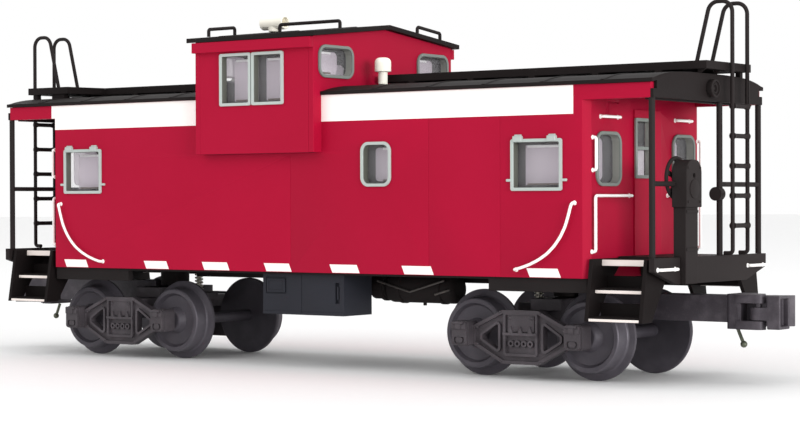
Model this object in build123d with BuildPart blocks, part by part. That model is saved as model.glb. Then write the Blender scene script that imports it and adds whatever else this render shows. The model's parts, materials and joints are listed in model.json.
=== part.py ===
"""A quarter-inch scale model caboose with a wide cupola, on two swivelling trucks with talgo couplers.

Millimetres. +X runs along the car towards the front end, +Z is up, and the wheel flanges stand on z = 0.
The car is the same after half a turn about its centre, so each end is built once and turned for the other.
"""
from build123d import *
import os

os.makedirs("parts", exist_ok=True)

# Wheels and axles
flange_radius = 11.6
tread_radius = 9.5
wheel_back = 14.25
wheel_face = 20.0
flange_width = 1.5
axle_radius = 1.6
journal_radius = 1.2
running_gap = 0.06
wheelbase = 35.0

# Trucks
truck_setback = 23.7
axle_drop = 15.5
frame_inside = 22.4
frame_plate = 1.5
box_width = 5.3
box_height = 6.6
box_face = 27.5
bolster_half = 4.8
kingpin_radius = 2.0
lift_gap = 0.3

# Car body, heights above the bottom edge of the walls
body_half = 95.5
side_half = 29.6
wall = 1.8
eave = 49.2
fascia_depth = 3.9
ridge_rise = 3.1
roof_skin = 1.0
roof_reach = 0.6
roof_porch = 18.9
fascia_skin = 0.9
drip_depth = 1.7

# Cupola
cupola_rear = -33.5
cupola_front = 9.8
cupola_swell = 3.5
cupola_drop = 15.9
cupola_height = 32.1
cupola_rise = 3.6
cupola_skin = 1.3
cupola_overhang = 1.8

# End platforms and steps
deck_top = 5.4
deck_skin = 1.2
deck_length = 19.5
sill_skin = 1.6
sill_reach = 0.8
sill_depth = 6.8
sill_slope = 11.4
steps_gap = 0.5
steps_width = 17.2
steps_depth = 14.0
stringer = 1.2
tread_skin = 0.8
step_pitch = 7.1
step_run = 3.2
tread_depth = 6.2
riser_height = 3.4

# Railings, ladder and brake stand
post_radius = 0.8
rail_radius = 0.65
rail_height = 23.9
ladder_rail = 0.55
ladder_out = 2.1
ladder_near = 7.1
ladder_far = 15.5
rung_first = 13.1
rung_pitch = 7.8
rung_count = 5
walk_half = 5.6
walk_lift = 3.3
walk_skin = 2.1
walk_reach = 1.9

# Couplers, heights below the bottom edge of the walls
head_top = -4.1
head_height = 8.9
tongue_reach = 49.5
tongue_top = -4.6
tongue_height = 6.8
knuckle_pin_radius = 0.9

# Places worked out from the sizes above
body_bottom = flange_radius + axle_drop
truck_centre = body_half - truck_setback
roof_end = body_half + roof_porch
deck_end = body_half + deck_length
steps_inner = body_half + steps_gap
steps_outer = steps_inner + steps_width
sill_half = side_half + sill_reach
sill_shoulder = sill_half - sill_slope
deck_half = side_half - steps_depth
cupola_half = side_half + cupola_swell
cupola_bottom = eave - cupola_drop
cupola_eave = cupola_bottom + cupola_height
ridge = eave + ridge_rise
walk_top = ridge + walk_lift
walk_end = roof_end + walk_reach
ladder_plane = deck_end + ladder_out
head_rear = truck_centre + tongue_reach
head_bottom = head_top - head_height
cupola_slope = cupola_rise / cupola_half
roof_slope = ridge_rise / side_half
fascia_bottom = eave - fascia_depth


def up(height):
    """Height above the floor of a height given from the bottom edge of the walls."""
    return body_bottom + height


def keep(block, node):
    """Labels a finished piece and writes it."""
    block.part.label = node
    export_step(block.part, f"parts/{node}.step")


def keep_turned(block, node):
    """Writes the piece again after half a turn about the car's centre."""
    with BuildPart() as turned:
        add(block.part, rotation=(0, 0, 180))
    keep(turned, node)


def keep_mirrored(block, node):
    """Writes the piece again on the other side of the car."""
    with BuildPart() as mirrored:
        add(mirror(block.part, about=Plane.XZ, mode=Mode.PRIVATE))
    keep(mirrored, node)


# Windows, each with its place along its wall
side_windows = (
    # along, sill, width, height, corner, bar
    (13.5 - body_half, 22.3, 15.6, 13.4, 0.6, ""),
    (body_half - 15.3, 22.3, 15.6, 13.4, 0.6, ""),
    (28.7, 23.7, 10.2, 12.2, 2.6, ""),
)
cupola_middle = (cupola_front + cupola_rear) / 2
cupola_side_window = (cupola_middle - 0.5, cupola_bottom + 13.5, 23.4, 14.9, 0.6, "upright")
end_window = (side_half - 9.8, 23.4, 12.6, 14.1, 3.2, "")
door_window = (0.0, 25.5, 10.8, 15.8, 0.4, "level")
cupola_end_window = (cupola_half - wall - 8.1, eave + 4.8, 15.8, 9.2, 3.0, "")
bar_width = 1.2
pane = 0.8
pane_lap = 0.5
flange_lap = 0.6
frame_band = 1.2
frame_proud = 0.6
fit_gap = 0.05


def window_outline(window, shrink, mode=Mode.ADD):
    """One rounded window outline on the active sketch, made smaller all round by shrink."""
    along, sill, width, height, corner, bar = window
    with Locations((along, up(sill) + height / 2)):
        RectangleRounded(width - 2 * shrink, height - 2 * shrink, max(corner - shrink, 0.3), mode=mode)


def frame_outline(window, shrink):
    """The ring of a window frame with its bar on the active sketch."""
    along, sill, width, height, corner, bar = window
    window_outline(window, shrink)
    window_outline(window, frame_band, Mode.SUBTRACT)
    if bar == "upright":
        with Locations((along, up(sill) + height / 2)):
            Rectangle(bar_width, height - 2 * frame_band)
    if bar == "level":
        with Locations((along, up(sill) + height / 2)):
            Rectangle(width - 2 * frame_band, bar_width)


# Floor and underframe
floor_lip = 0.6
floor_skin = 1.2
floor_inset = 1.0
edge_strip = 2.0
edge_strip_depth = 3.7
edge_strip_inner = truck_centre - 7.3
centre_sill_half = 4.0
centre_sill_depth = 3.0
centre_sill_end = truck_centre - 12.5
with BuildPart() as floor_pan:
    with BuildSketch(Plane.XY.offset(up(-floor_lip))):
        Rectangle(2 * (body_half - floor_inset), 2 * (side_half - floor_inset))
    extrude(amount=floor_lip)
    with BuildSketch(Plane.XY.offset(up(0))):
        Rectangle(2 * (body_half - wall), 2 * (side_half - wall))
    extrude(amount=floor_skin)
    with BuildSketch(Plane.XY.offset(up(-edge_strip_depth))):
        strip_length = body_half - floor_inset - edge_strip_inner
        strip_middle = (body_half - floor_inset + edge_strip_inner) / 2
        strip_line = side_half - floor_inset - edge_strip / 2
        with GridLocations(2 * strip_middle, 2 * strip_line, 2, 2):
            Rectangle(strip_length, edge_strip)
    extrude(amount=edge_strip_depth)
    with BuildSketch(Plane.XY.offset(up(-centre_sill_depth))):
        Rectangle(2 * centre_sill_end, 2 * centre_sill_half)
    extrude(amount=centre_sill_depth)
keep(floor_pan, "floor_pan")

# Side walls, with the deep notch under the cupola and the stepped strips over the platforms
header_end = roof_end - fascia_skin
fascia_inner = side_half - wall
strip_inner = fascia_inner - 1.0
lap_end = body_half + 0.6
corner_cut = wall - 0.1
with BuildPart() as side_wall:
    with BuildSketch(Plane.XZ.offset(side_half - wall)):
        with BuildLine():
            Polyline(
                (-body_half, up(0)), (body_half, up(0)), (body_half, up(fascia_bottom)),
                (header_end, up(fascia_bottom)), (header_end, up(eave - drip_depth)),
                (lap_end, up(eave - drip_depth)), (lap_end, up(eave)), (cupola_front, up(eave)),
                (cupola_front, up(cupola_bottom)), (cupola_rear, up(cupola_bottom)), (cupola_rear, up(eave)),
                (-lap_end, up(eave)), (-lap_end, up(eave - drip_depth)), (-header_end, up(eave - drip_depth)),
                (-header_end, up(fascia_bottom)), (-body_half, up(fascia_bottom)),
                close=True)
        make_face()
        for window in side_windows:
            window_outline(window, flange_lap, Mode.SUBTRACT)
    extrude(amount=wall)
    wall_corners = side_wall.edges().filter_by(Axis.Z).group_by(Axis.Y)[0]
    end_corners = wall_corners.filter_by(lambda edge: abs(abs(edge.center().X) - body_half) < 0.1)
    chamfer(end_corners, length=corner_cut)
    for start in (body_half, -header_end):
        with BuildSketch(Plane.YZ.offset(start)):
            with BuildLine():
                Polyline(
                    (-fascia_inner, up(fascia_bottom)), (-strip_inner, up(fascia_bottom)),
                    (-strip_inner, up(ridge - roof_slope * strip_inner)),
                    (-fascia_inner, up(ridge - roof_slope * fascia_inner)), close=True)
            make_face()
        extrude(amount=header_end - body_half)
keep(side_wall, "side_wall_left")
keep_mirrored(side_wall, "side_wall_right")

# End walls with two windows and a moulded door
door_half = 6.9
door_relief = 0.5
door_head = 43.4
with BuildPart() as end_wall:
    with BuildSketch(Plane.YZ.offset(body_half - wall)):
        inner_half = side_half - wall
        with BuildLine():
            Polyline(
                (-inner_half, up(0)), (inner_half, up(0)), (inner_half, up(ridge - roof_slope * inner_half)),
                (0, up(ridge)), (-inner_half, up(ridge - roof_slope * inner_half)),
                close=True)
        make_face()
    extrude(amount=wall)
    with BuildSketch(Plane.YZ.offset(body_half)):
        with Locations((0, up((deck_top + door_head) / 2))):
            Rectangle(2 * door_half, door_head - deck_top)
    extrude(amount=door_relief)
    with BuildSketch(Plane.YZ.offset(body_half + door_relief)):
        window_outline(door_window, flange_lap)
        window_outline(end_window, flange_lap)
        mirror(about=Plane.YZ)
    extrude(amount=-(wall + door_relief), mode=Mode.SUBTRACT)
keep(end_wall, "end_wall_front")
keep_turned(end_wall, "end_wall_rear")

# Main roof, one piece each side of the cupola, with the end fascia
roof_half = side_half + roof_reach
roof_eave_under = eave - roof_slope * roof_reach
for node, near_end in (("roof_front", cupola_front), ("roof_rear", -cupola_rear)):
    with BuildPart() as roof:
        with BuildSketch(Plane.YZ.offset(near_end)):
            with BuildLine():
                Polyline(
                    (-roof_half, up(roof_eave_under)), (0, up(ridge)), (roof_half, up(roof_eave_under)),
                    (roof_half, up(roof_eave_under + roof_skin)), (0, up(ridge + roof_skin)),
                    (-roof_half, up(roof_eave_under + roof_skin)), close=True)
            make_face()
        extrude(amount=roof_end - near_end)
        with BuildSketch(Plane.YZ.offset(roof_end - fascia_skin)):
            with BuildLine():
                Polyline(
                    (-side_half, up(fascia_bottom)), (side_half, up(fascia_bottom)),
                    (side_half, up(eave - drip_depth)), (fascia_inner, up(eave - drip_depth)),
                    (fascia_inner, up(ridge - roof_slope * fascia_inner)),
                    (0, up(ridge)), (-fascia_inner, up(ridge - roof_slope * fascia_inner)),
                    (-fascia_inner, up(eave - drip_depth)), (-side_half, up(eave - drip_depth)), close=True)
            make_face()
        extrude(amount=fascia_skin)
    if node == "roof_front":
        keep(roof, node)
    else:
        keep_turned(roof, node)

# Cupola sides, each with the ledge that rests on the wall below and the strip under the roof
cornice_proud = 1.6
cornice_top = cupola_eave - 0.3
cornice_bottom = cupola_eave - 3.2
with BuildPart() as cupola_side:
    with BuildSketch(Plane.YZ.offset(cupola_rear + wall)):
        with BuildLine():
            Polyline(
                (-cupola_half, up(cupola_bottom)), (-(side_half - wall), up(cupola_bottom)),
                (-(side_half - wall), up(cupola_bottom + wall)), (-(cupola_half - wall), up(cupola_bottom + wall)),
                (-(cupola_half - wall), up(cupola_eave + cupola_slope * wall)), (-cupola_half, up(cupola_eave)),
                close=True)
        make_face()
    extrude(amount=cupola_front - cupola_rear - 2 * wall)
    with BuildSketch(Plane.XZ.offset(cupola_half)):
        window_outline(cupola_side_window, flange_lap)
    extrude(amount=-wall, mode=Mode.SUBTRACT)
    with BuildSketch(Plane.XZ.offset(cupola_half)):
        with Locations((cupola_middle, up((cornice_top + cornice_bottom) / 2))):
            Rectangle(cupola_front - cupola_rear, cornice_top - cornice_bottom)
    extrude(amount=cornice_proud)
keep(cupola_side, "cupola_side_left")
keep_mirrored(cupola_side, "cupola_side_right")

# Cupola ends, whose legs reach down outside the car's walls
cupola_panel_bottom = eave - 3.2
for node, start in (("cupola_end_front", cupola_front - wall), ("cupola_end_rear", cupola_rear)):
    with BuildPart() as cupola_end:
        with BuildSketch(Plane.YZ.offset(start)):
            inner_half = side_half - wall
            with BuildLine():
                Polyline(
                    (-cupola_half, up(cupola_bottom)), (-inner_half, up(cupola_bottom)),
                    (-inner_half, up(cupola_panel_bottom)), (inner_half, up(cupola_panel_bottom)),
                    (inner_half, up(cupola_bottom)), (cupola_half, up(cupola_bottom)),
                    (cupola_half, up(cupola_eave)), (0, up(cupola_eave + cupola_rise)),
                    (-cupola_half, up(cupola_eave)), close=True)
            make_face()
        extrude(amount=wall)
        with BuildSketch(Plane.YZ.offset(start)):
            window_outline(cupola_end_window, flange_lap)
            mirror(about=Plane.YZ)
        extrude(amount=wall, mode=Mode.SUBTRACT)
    keep(cupola_end, node)

# Cupola roof
with BuildPart() as cupola_roof:
    lid_half = cupola_half + cupola_overhang
    lid_under = cupola_eave - cupola_slope * cupola_overhang
    with BuildSketch(Plane.YZ.offset(cupola_rear - cupola_overhang)):
        with BuildLine():
            Polyline(
                (-lid_half, up(lid_under)), (0, up(cupola_eave + cupola_rise)), (lid_half, up(lid_under)),
                (lid_half, up(lid_under + cupola_skin)), (0, up(cupola_eave + cupola_rise + cupola_skin)),
                (-lid_half, up(lid_under + cupola_skin)), close=True)
        make_face()
    extrude(amount=cupola_front - cupola_rear + 2 * cupola_overhang)
keep(cupola_roof, "cupola_roof")

# Roof walks on saddles, each with a wide landing at the end of the car
landing_far = 19.2
landing_length = 20.2
landing_slant = 3.0
landing_inner = walk_end - landing_length
landing_feet = (
    # distance from the end of the roof to the foot's outer face, its length along the car
    (0.2, 1.4),
    (8.0, 5.4),
)
foot_near = landing_far - 2.2
foot_far = landing_far - 0.6
saddle_half = 1.0
saddle_pitch = 20.0
saddle_count = 4
saddle_first = landing_inner - 13.0
roof_walks = (
    # name, distance from the middle of the car to where it starts
    ("roof_walk_front", cupola_front + cupola_overhang),
    ("roof_walk_rear", cupola_overhang - cupola_rear),
)
for node, walk_start in roof_walks:
    with BuildPart() as roof_walk:
        walk_length = walk_end - walk_start
        with BuildSketch(Plane.XY.offset(up(walk_top))):
            with Locations((walk_start + walk_length / 2, 0)):
                Rectangle(walk_length, 2 * walk_half)
            with BuildLine():
                Polyline(
                    (landing_inner, walk_half), (landing_inner + landing_slant, landing_far),
                    (walk_end, landing_far), (walk_end, walk_half), close=True)
            make_face()
        extrude(amount=-walk_skin)
        for setback, length in landing_feet:
            with BuildSketch(Plane.YZ.offset(roof_end - setback - length)):
                with BuildLine():
                    Polyline(
                        (foot_near, up(walk_top - walk_skin)), (foot_far, up(walk_top - walk_skin)),
                        (foot_far, up(ridge + roof_skin - roof_slope * foot_far)),
                        (foot_near, up(ridge + roof_skin - roof_slope * foot_near)), close=True)
                make_face()
            extrude(amount=length)
        saddles = [saddle_first - saddle_pitch * number for number in range(saddle_count)] + [landing_inner + 6.0]
        for place in [spot for spot in saddles if spot > walk_start + 2]:
            with BuildSketch(Plane.YZ.offset(place - saddle_half)):
                with BuildLine():
                    Polyline(
                        (-walk_half, up(walk_top - walk_skin)), (walk_half, up(walk_top - walk_skin)),
                        (walk_half, up(ridge + roof_skin - roof_slope * walk_half)), (0, up(ridge + roof_skin)),
                        (-walk_half, up(ridge + roof_skin - roof_slope * walk_half)), close=True)
                make_face()
            extrude(amount=2 * saddle_half)
    if node == "roof_walk_front":
        keep(roof_walk, node)
    else:
        keep_turned(roof_walk, node)

# Smoke jack on the cupola roof and the vent on the main roof
jack_place = (-21.5, -12.0)
jack_stem = 1.7
jack_head = 2.0
jack_length = 8.4
jack_rise = 4.6
jack_bore = 1.4
with BuildPart() as smoke_jack:
    jack_seat = cupola_eave + cupola_rise + cupola_skin - cupola_slope * (abs(jack_place[1]) - jack_stem)
    with BuildSketch(Plane.XY.offset(up(jack_seat))):
        with Locations(jack_place):
            Circle(jack_stem)
    extrude(amount=jack_rise - jack_head)
    with BuildSketch(Plane.YZ.offset(jack_place[0] - jack_length / 2)):
        with Locations((jack_place[1], up(jack_seat + jack_rise - jack_head))):
            Circle(jack_head)
    extrude(amount=jack_length)
    with BuildSketch(Plane.YZ.offset(jack_place[0] - jack_length / 2)):
        with Locations((jack_place[1], up(jack_seat + jack_rise - jack_head))):
            Circle(jack_bore)
    extrude(amount=jack_length / 3, mode=Mode.SUBTRACT)
    with BuildSketch(Plane.YZ.offset(jack_place[0] + jack_length / 2)):
        with Locations((jack_place[1], up(jack_seat + jack_rise - jack_head))):
            Circle(jack_bore)
    extrude(amount=-jack_length / 3, mode=Mode.SUBTRACT)
keep(smoke_jack, "smoke_jack")

vent_place = (16.8, -10.5)
vent_stem = 1.3
vent_cap = 2.3
vent_rise = 7.8
vent_cap_height = 4.0
with BuildPart() as roof_vent:
    vent_seat = ridge + roof_skin - roof_slope * (abs(vent_place[1]) - vent_stem)
    with BuildSketch(Plane.XY.offset(up(vent_seat))):
        with Locations(vent_place):
            Circle(vent_stem)
    extrude(amount=vent_rise - vent_cap_height)
    with BuildSketch(Plane.XY.offset(up(vent_seat + vent_rise - vent_cap_height))):
        with Locations(vent_place):
            Circle(vent_cap)
    extrude(amount=vent_cap_height)
    fillet(roof_vent.edges().group_by(Axis.Z)[-1], radius=vent_cap * 0.6)
keep(roof_vent, "roof_vent")


# Window frames: a ring that laps over the wall outside and a sleeve through the opening
with BuildPart() as side_window_frames:
    for window in side_windows:
        with BuildSketch(Plane.XZ.offset(side_half)):
            frame_outline(window, 0)
        extrude(amount=frame_proud)
        with BuildSketch(Plane.XZ.offset(side_half)):
            frame_outline(window, flange_lap + fit_gap)
        extrude(amount=-wall)
    mirror(about=Plane.XZ)
keep(side_window_frames, "side_window_frames")

with BuildPart() as end_window_frames:
    door_depth = wall + door_relief
    for window, face, depth in ((end_window, body_half, wall), (door_window, body_half + door_relief, door_depth)):
        with BuildSketch(Plane.YZ.offset(face)):
            frame_outline(window, 0)
        extrude(amount=frame_proud)
        with BuildSketch(Plane.YZ.offset(face)):
            frame_outline(window, flange_lap + fit_gap)
        extrude(amount=-depth)
    mirror(about=Plane.XZ)
    mirror(about=Plane.YZ)
keep(end_window_frames, "end_window_frames")

with BuildPart() as cupola_window_frames:
    with BuildSketch(Plane.XZ.offset(cupola_half)):
        frame_outline(cupola_side_window, 0)
    extrude(amount=frame_proud)
    with BuildSketch(Plane.XZ.offset(cupola_half)):
        frame_outline(cupola_side_window, flange_lap + fit_gap)
    extrude(amount=-wall)
    for face, outward in ((cupola_front, 1), (cupola_rear, -1)):
        with BuildSketch(Plane.YZ.offset(face)):
            frame_outline(cupola_end_window, 0)
        extrude(amount=outward * frame_proud)
        with BuildSketch(Plane.YZ.offset(face)):
            frame_outline(cupola_end_window, flange_lap + fit_gap)
        extrude(amount=-outward * wall)
    mirror(about=Plane.XZ)
keep(cupola_window_frames, "cupola_window_frames")

# Clear panes against the inner faces of the walls
pane_edge = flange_lap - pane_lap
with BuildPart() as window_panes:
    for window in side_windows:
        with BuildSketch(Plane.XZ.offset(side_half - wall)):
            window_outline(window, pane_edge)
        extrude(amount=-pane)
    with BuildSketch(Plane.XZ.offset(cupola_half - wall)):
        window_outline(cupola_side_window, pane_edge)
    extrude(amount=-pane)
    for face, inward in ((cupola_front - wall, -1), (cupola_rear + wall, 1)):
        with BuildSketch(Plane.YZ.offset(face)):
            window_outline(cupola_end_window, pane_edge)
        extrude(amount=inward * pane)
    for face, inward in ((body_half - wall, -1), (wall - body_half, 1)):
        with BuildSketch(Plane.YZ.offset(face)):
            window_outline(end_window, pane_edge)
            window_outline(door_window, pane_edge)
        extrude(amount=inward * pane)
    mirror(about=Plane.XZ)
keep(window_panes, "window_panes")

# Curved white handrails at the corners of the sides
wire = 0.5
wire_out = 1.5
rail_line = -(side_half + wire_out)
rail_head = body_half - 4.1
rail_bend = body_half - 6.1
rail_foot = body_half - 21.1
with BuildPart() as side_handrails:
    for direction in (1, -1):
        with BuildLine() as side_rail:
            FilletPolyline(
                (rail_head * direction, -side_half, up(19.4)), (rail_head * direction, rail_line, up(19.4)),
                (rail_bend * direction, rail_line, up(7.0)), (rail_foot * direction, rail_line, up(2.2)),
                (rail_foot * direction, -side_half, up(2.2)), radius=[0.8, 12.0, 0.8])
        with BuildSketch(Plane(origin=side_rail.line @ 0, z_dir=side_rail.line % 0)):
            Circle(wire)
        sweep(path=side_rail.line)
    mirror(about=Plane.XZ)
keep(side_handrails, "side_handrails")

# White grab irons on the end walls and end sills: foot, corner heights and reach, each listed for one side
grab_line = body_half + wire_out
sill_line = deck_end + wire_out
upright = side_half - 1.6
corner = side_half - corner_cut - 0.1
door_side = 11.2
brow_far = end_window[0] + 3.0
brow_near = end_window[0] - 7.0
sill_far = side_half - 1.4
sill_near = side_half - 10.6
end_grabs = (
    # points of the route from foot to foot
    ((body_half, upright, 36.0), (grab_line + 0.4, upright, 36.0),
     (grab_line + 0.4, upright, 27.2), (body_half, upright, 27.2)),
    ((body_half, corner, 6.8), (grab_line, corner, 6.8), (grab_line, corner, 21.0),
     (grab_line, door_side, 21.0), (body_half, door_side, 21.0)),
    ((body_half, brow_far, 41.4), (grab_line, brow_far, 41.4),
     (grab_line, brow_near, 41.4), (body_half, brow_near, 41.4)),
    ((deck_end, sill_far, 2.4), (sill_line, sill_far, 2.4),
     (sill_line, sill_near, 2.4), (deck_end, sill_near, 2.4)),
)
with BuildPart() as end_handrails:
    for route in end_grabs:
        with BuildLine() as grab_path:
            FilletPolyline(*[(x, y, up(z)) for x, y, z in route], radius=0.8)
        with BuildSketch(Plane(origin=grab_path.line @ 0, z_dir=grab_path.line % 0)):
            Circle(wire)
        sweep(path=grab_path.line)
    mirror(about=Plane.XZ)
    mirror(about=Plane.YZ)
keep(end_handrails, "end_handrails")


# Black grab irons on the cupola roof
def cupola_roof_height(y):
    """Height of the top of the cupola roof at a distance from the centre line."""
    return cupola_eave + cupola_rise + cupola_skin - cupola_slope * abs(y)


grab_lift = 2.1
foot_clear = 0.1
cross_grab_x = cupola_front + cupola_overhang - 1.6
cross_near = cupola_half - 17.6
cross_far = cupola_half - 6.1
long_grab_y = 13.1 - cupola_half
with BuildPart() as roof_grabs:
    for turn in (1, -1):
        cross_x = cupola_middle + turn * (cross_grab_x - cupola_middle)
        long_start = cupola_middle + turn * (-1.0)
        long_stop = cupola_middle + turn * 20.8
        for route in (
            ((cross_x, turn * cross_near, 0), (cross_x, turn * cross_near, grab_lift),
             (cross_x, turn * cross_far, grab_lift), (cross_x, turn * cross_far, 0)),
            ((long_start, turn * long_grab_y, 0), (long_start, turn * long_grab_y, grab_lift),
             (long_stop, turn * long_grab_y, grab_lift), (long_stop, turn * long_grab_y, 0)),
        ):
            with BuildLine() as grab_path:
                points = [(x, y, up(cupola_roof_height(y) + foot_clear + z)) for x, y, z in route]
                FilletPolyline(*points, radius=0.7)
            with BuildSketch(Plane(origin=grab_path.line @ 0, z_dir=grab_path.line % 0)):
                Circle(wire)
            sweep(path=grab_path.line)
keep(roof_grabs, "roof_grabs")

# End platforms: deck between the steps and the deep end sill with sloping ends
deck_start = body_half + door_relief + fit_gap
with BuildPart() as platform:
    with BuildSketch(Plane.XY.offset(up(deck_top))):
        with Locations(((deck_start + deck_end - sill_skin) / 2, 0)):
            Rectangle(deck_end - sill_skin - deck_start, 2 * deck_half)
    extrude(amount=-deck_skin)
    with BuildSketch(Plane.YZ.offset(deck_end - sill_skin)):
        with BuildLine():
            Polyline(
                (-sill_half, up(deck_top)), (sill_half, up(deck_top)), (sill_half, up(deck_top - sill_depth / 2)),
                (sill_shoulder, up(deck_top - sill_depth)), (-sill_shoulder, up(deck_top - sill_depth)),
                (-sill_half, up(deck_top - sill_depth / 2)), close=True)
        make_face()
    extrude(amount=sill_skin)
    with BuildSketch(Plane.XZ.offset(-centre_sill_half)):
        with BuildLine():
            Polyline(
                (deck_start, up(deck_top - deck_skin)), (deck_end - sill_skin, up(deck_top - deck_skin)),
                (deck_end - sill_skin, up(deck_top - sill_depth)), (deck_start, up(0)), close=True)
        make_face()
    extrude(amount=2 * centre_sill_half)
keep(platform, "platform_front")
keep_turned(platform, "platform_rear")

# Steps, one block at each corner: two slanted stringers, three treads and the risers behind the lower two
steps_top = deck_top - 0.4
steps_bottom = -10.6
front_edge_top = side_half - 1.4
front_edge_bottom = side_half + 0.4
with BuildPart() as steps:
    for start in (steps_inner, steps_outer - stringer):
        with BuildSketch(Plane.YZ.offset(start)):
            with BuildLine():
                Polyline(
                    (-front_edge_top, up(steps_top)), (-front_edge_bottom, up(steps_bottom)),
                    (-(front_edge_bottom - tread_depth - 0.6), up(steps_bottom)),
                    (-(deck_half + 0.3), up(-1.4)), (-(deck_half + 0.3), up(steps_top)), close=True)
            make_face()
        extrude(amount=stringer)
    for level in range(3):
        tread_front = front_edge_bottom - 0.4 - step_run * level
        with BuildSketch(Plane.XY.offset(up(steps_bottom + 0.3 + step_pitch * level))):
            with Locations(((steps_inner + steps_outer) / 2, -(tread_front - tread_depth / 2))):
                Rectangle(steps_outer - steps_inner - 2 * stringer, tread_depth)
        extrude(amount=tread_skin)
    for level in range(2):
        riser_line = front_edge_bottom - 0.4 - step_run * level - tread_depth + tread_skin / 2
        with BuildSketch(Plane.XY.offset(up(steps_bottom + 0.3 + step_pitch * level))):
            with Locations(((steps_inner + steps_outer) / 2, -riser_line)):
                Rectangle(steps_outer - steps_inner - 2 * stringer, tread_skin)
        extrude(amount=tread_skin + riser_height)
keep(steps, "steps_front_left")
keep_mirrored(steps, "steps_front_right")
keep_turned(steps, "steps_rear_right")
with BuildPart() as steps_rear_left:
    add(mirror(steps.part, about=Plane.YZ, mode=Mode.PRIVATE))
keep(steps_rear_left, "steps_rear_left")

# Railings: corner posts and the inner post with their rails
post_line = deck_end - 1.5
corner_post = side_half - 0.8
inner_post = 6.7
stand_near = 10.0
stand_far = 18.0
valve_radius = 1.8
valve_length = 1.6
valve_height = 21.4
with BuildPart() as railings:
    with BuildSketch(Plane.XY.offset(up(deck_top))):
        with Locations((post_line, -corner_post), (post_line, inner_post), (post_line, corner_post)):
            Circle(post_radius)
    extrude(amount=fascia_bottom - deck_top)
    for rail_start, rail_stop in ((-corner_post, -stand_far), (inner_post, corner_post)):
        with BuildSketch(Plane.XZ.offset(-rail_start)):
            with Locations((post_line, up(rail_height))):
                Circle(rail_radius)
        extrude(amount=-(rail_stop - rail_start))
    with BuildSketch(Plane.XZ.offset(-inner_post)):
        with Locations((post_line, up(valve_height))):
            Circle(valve_radius)
    extrude(amount=post_radius + valve_length)
keep(railings, "railings_front")
keep_turned(railings, "railings_rear")

# Ladder up the end, looping over the landing of the roof walk
loop_top = walk_top + 16.1
loop_inner = ladder_plane - 10.5
loop_shoulder = ladder_plane - 6.5
ladder_foot = deck_top + ladder_rail
ladder_foot_x = post_line + post_radius + 0.3
with BuildPart() as ladder:
    for rail_y in (ladder_near, ladder_far):
        with BuildLine() as ladder_path:
            FilletPolyline(
                (ladder_foot_x, rail_y, up(ladder_foot)), (ladder_plane, rail_y, up(ladder_foot)),
                (ladder_plane, rail_y, up(loop_top)), (loop_shoulder, rail_y, up(loop_top)),
                (loop_inner, rail_y, up(walk_top + 0.2)), radius=[0.9, 3.0, 3.0])
        with BuildSketch(Plane(origin=ladder_path.line @ 0, z_dir=ladder_path.line % 0)):
            Circle(ladder_rail)
        sweep(path=ladder_path.line)
    for rung in range(rung_count):
        with BuildSketch(Plane.XZ.offset(-ladder_near)):
            with Locations((ladder_plane, up(rung_first + rung_pitch * rung))):
                Circle(ladder_rail * 0.85)
        extrude(amount=-(ladder_far - ladder_near))
keep(ladder, "ladder_front")
keep_turned(ladder, "ladder_rear")

# Brake stand outside the end sill, with its wheel on the platform side
stand_back = deck_end - 2.0
stand_face = deck_end + 1.6
housing_proud = 0.7
housing_drop = 12.0
stand_top = 30.0
stand_middle = -(stand_near + stand_far) / 2
stand_half = (stand_far - stand_near) / 2
column_half = stand_half - 0.8
wheel_shaft_height = 25.4
wheel_shaft = 0.8
stand_hole = 0.6
with BuildPart() as brake_stand:
    with BuildSketch(Plane.YZ.offset(stand_back)):
        with Locations((stand_middle, up((stand_top + deck_top) / 2))):
            Rectangle(2 * column_half, stand_top - deck_top)
    extrude(amount=stand_face - stand_back)
    with BuildSketch(Plane.YZ.offset(deck_end)):
        with Locations((stand_middle, up(deck_top - sill_depth / 2))):
            Rectangle(2 * column_half, sill_depth)
    extrude(amount=stand_face - deck_end)
    with BuildSketch(Plane.YZ.offset(stand_back)):
        with Locations((stand_middle, up(stand_top - housing_drop / 2))):
            Rectangle(2 * stand_half, housing_drop)
    extrude(amount=stand_face + housing_proud - stand_back)
    top_edges = brake_stand.edges().filter_by(Axis.X).group_by(Axis.Z)[-1]
    fillet(top_edges, radius=stand_half * 0.8)
    with BuildSketch(Plane.YZ.offset(stand_face + housing_proud)):
        with Locations((stand_middle, up(wheel_shaft_height + 0.6))):
            Circle(stand_hole)
    extrude(amount=-0.8, mode=Mode.SUBTRACT)
    with BuildSketch(Plane.YZ.offset(stand_back)):
        with Locations((stand_middle, up(wheel_shaft_height))):
            Circle(wheel_shaft)
    extrude(amount=-1.6)
keep(brake_stand, "brake_stand_front")
keep_turned(brake_stand, "brake_stand_rear")

brake_rim = 5.6
brake_rim_wire = 0.5
brake_hub = 1.4
brake_plane = stand_back - 1.4
with BuildPart() as brake_wheel:
    with BuildSketch(Plane.YZ.offset(brake_plane)):
        with Locations((stand_middle, up(wheel_shaft_height))):
            Circle(brake_rim)
            Circle(brake_rim - 2 * brake_rim_wire, mode=Mode.SUBTRACT)
            with PolarLocations(0, 5, start_angle=90):
                with Locations(((brake_rim - brake_rim_wire) / 2, 0)):
                    Rectangle(brake_rim - brake_rim_wire, 0.9)
            Circle(brake_hub)
            Circle(wheel_shaft, mode=Mode.SUBTRACT)
    extrude(amount=1.0)
keep(brake_wheel, "brake_wheel_front")
keep_turned(brake_wheel, "brake_wheel_rear")

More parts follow.
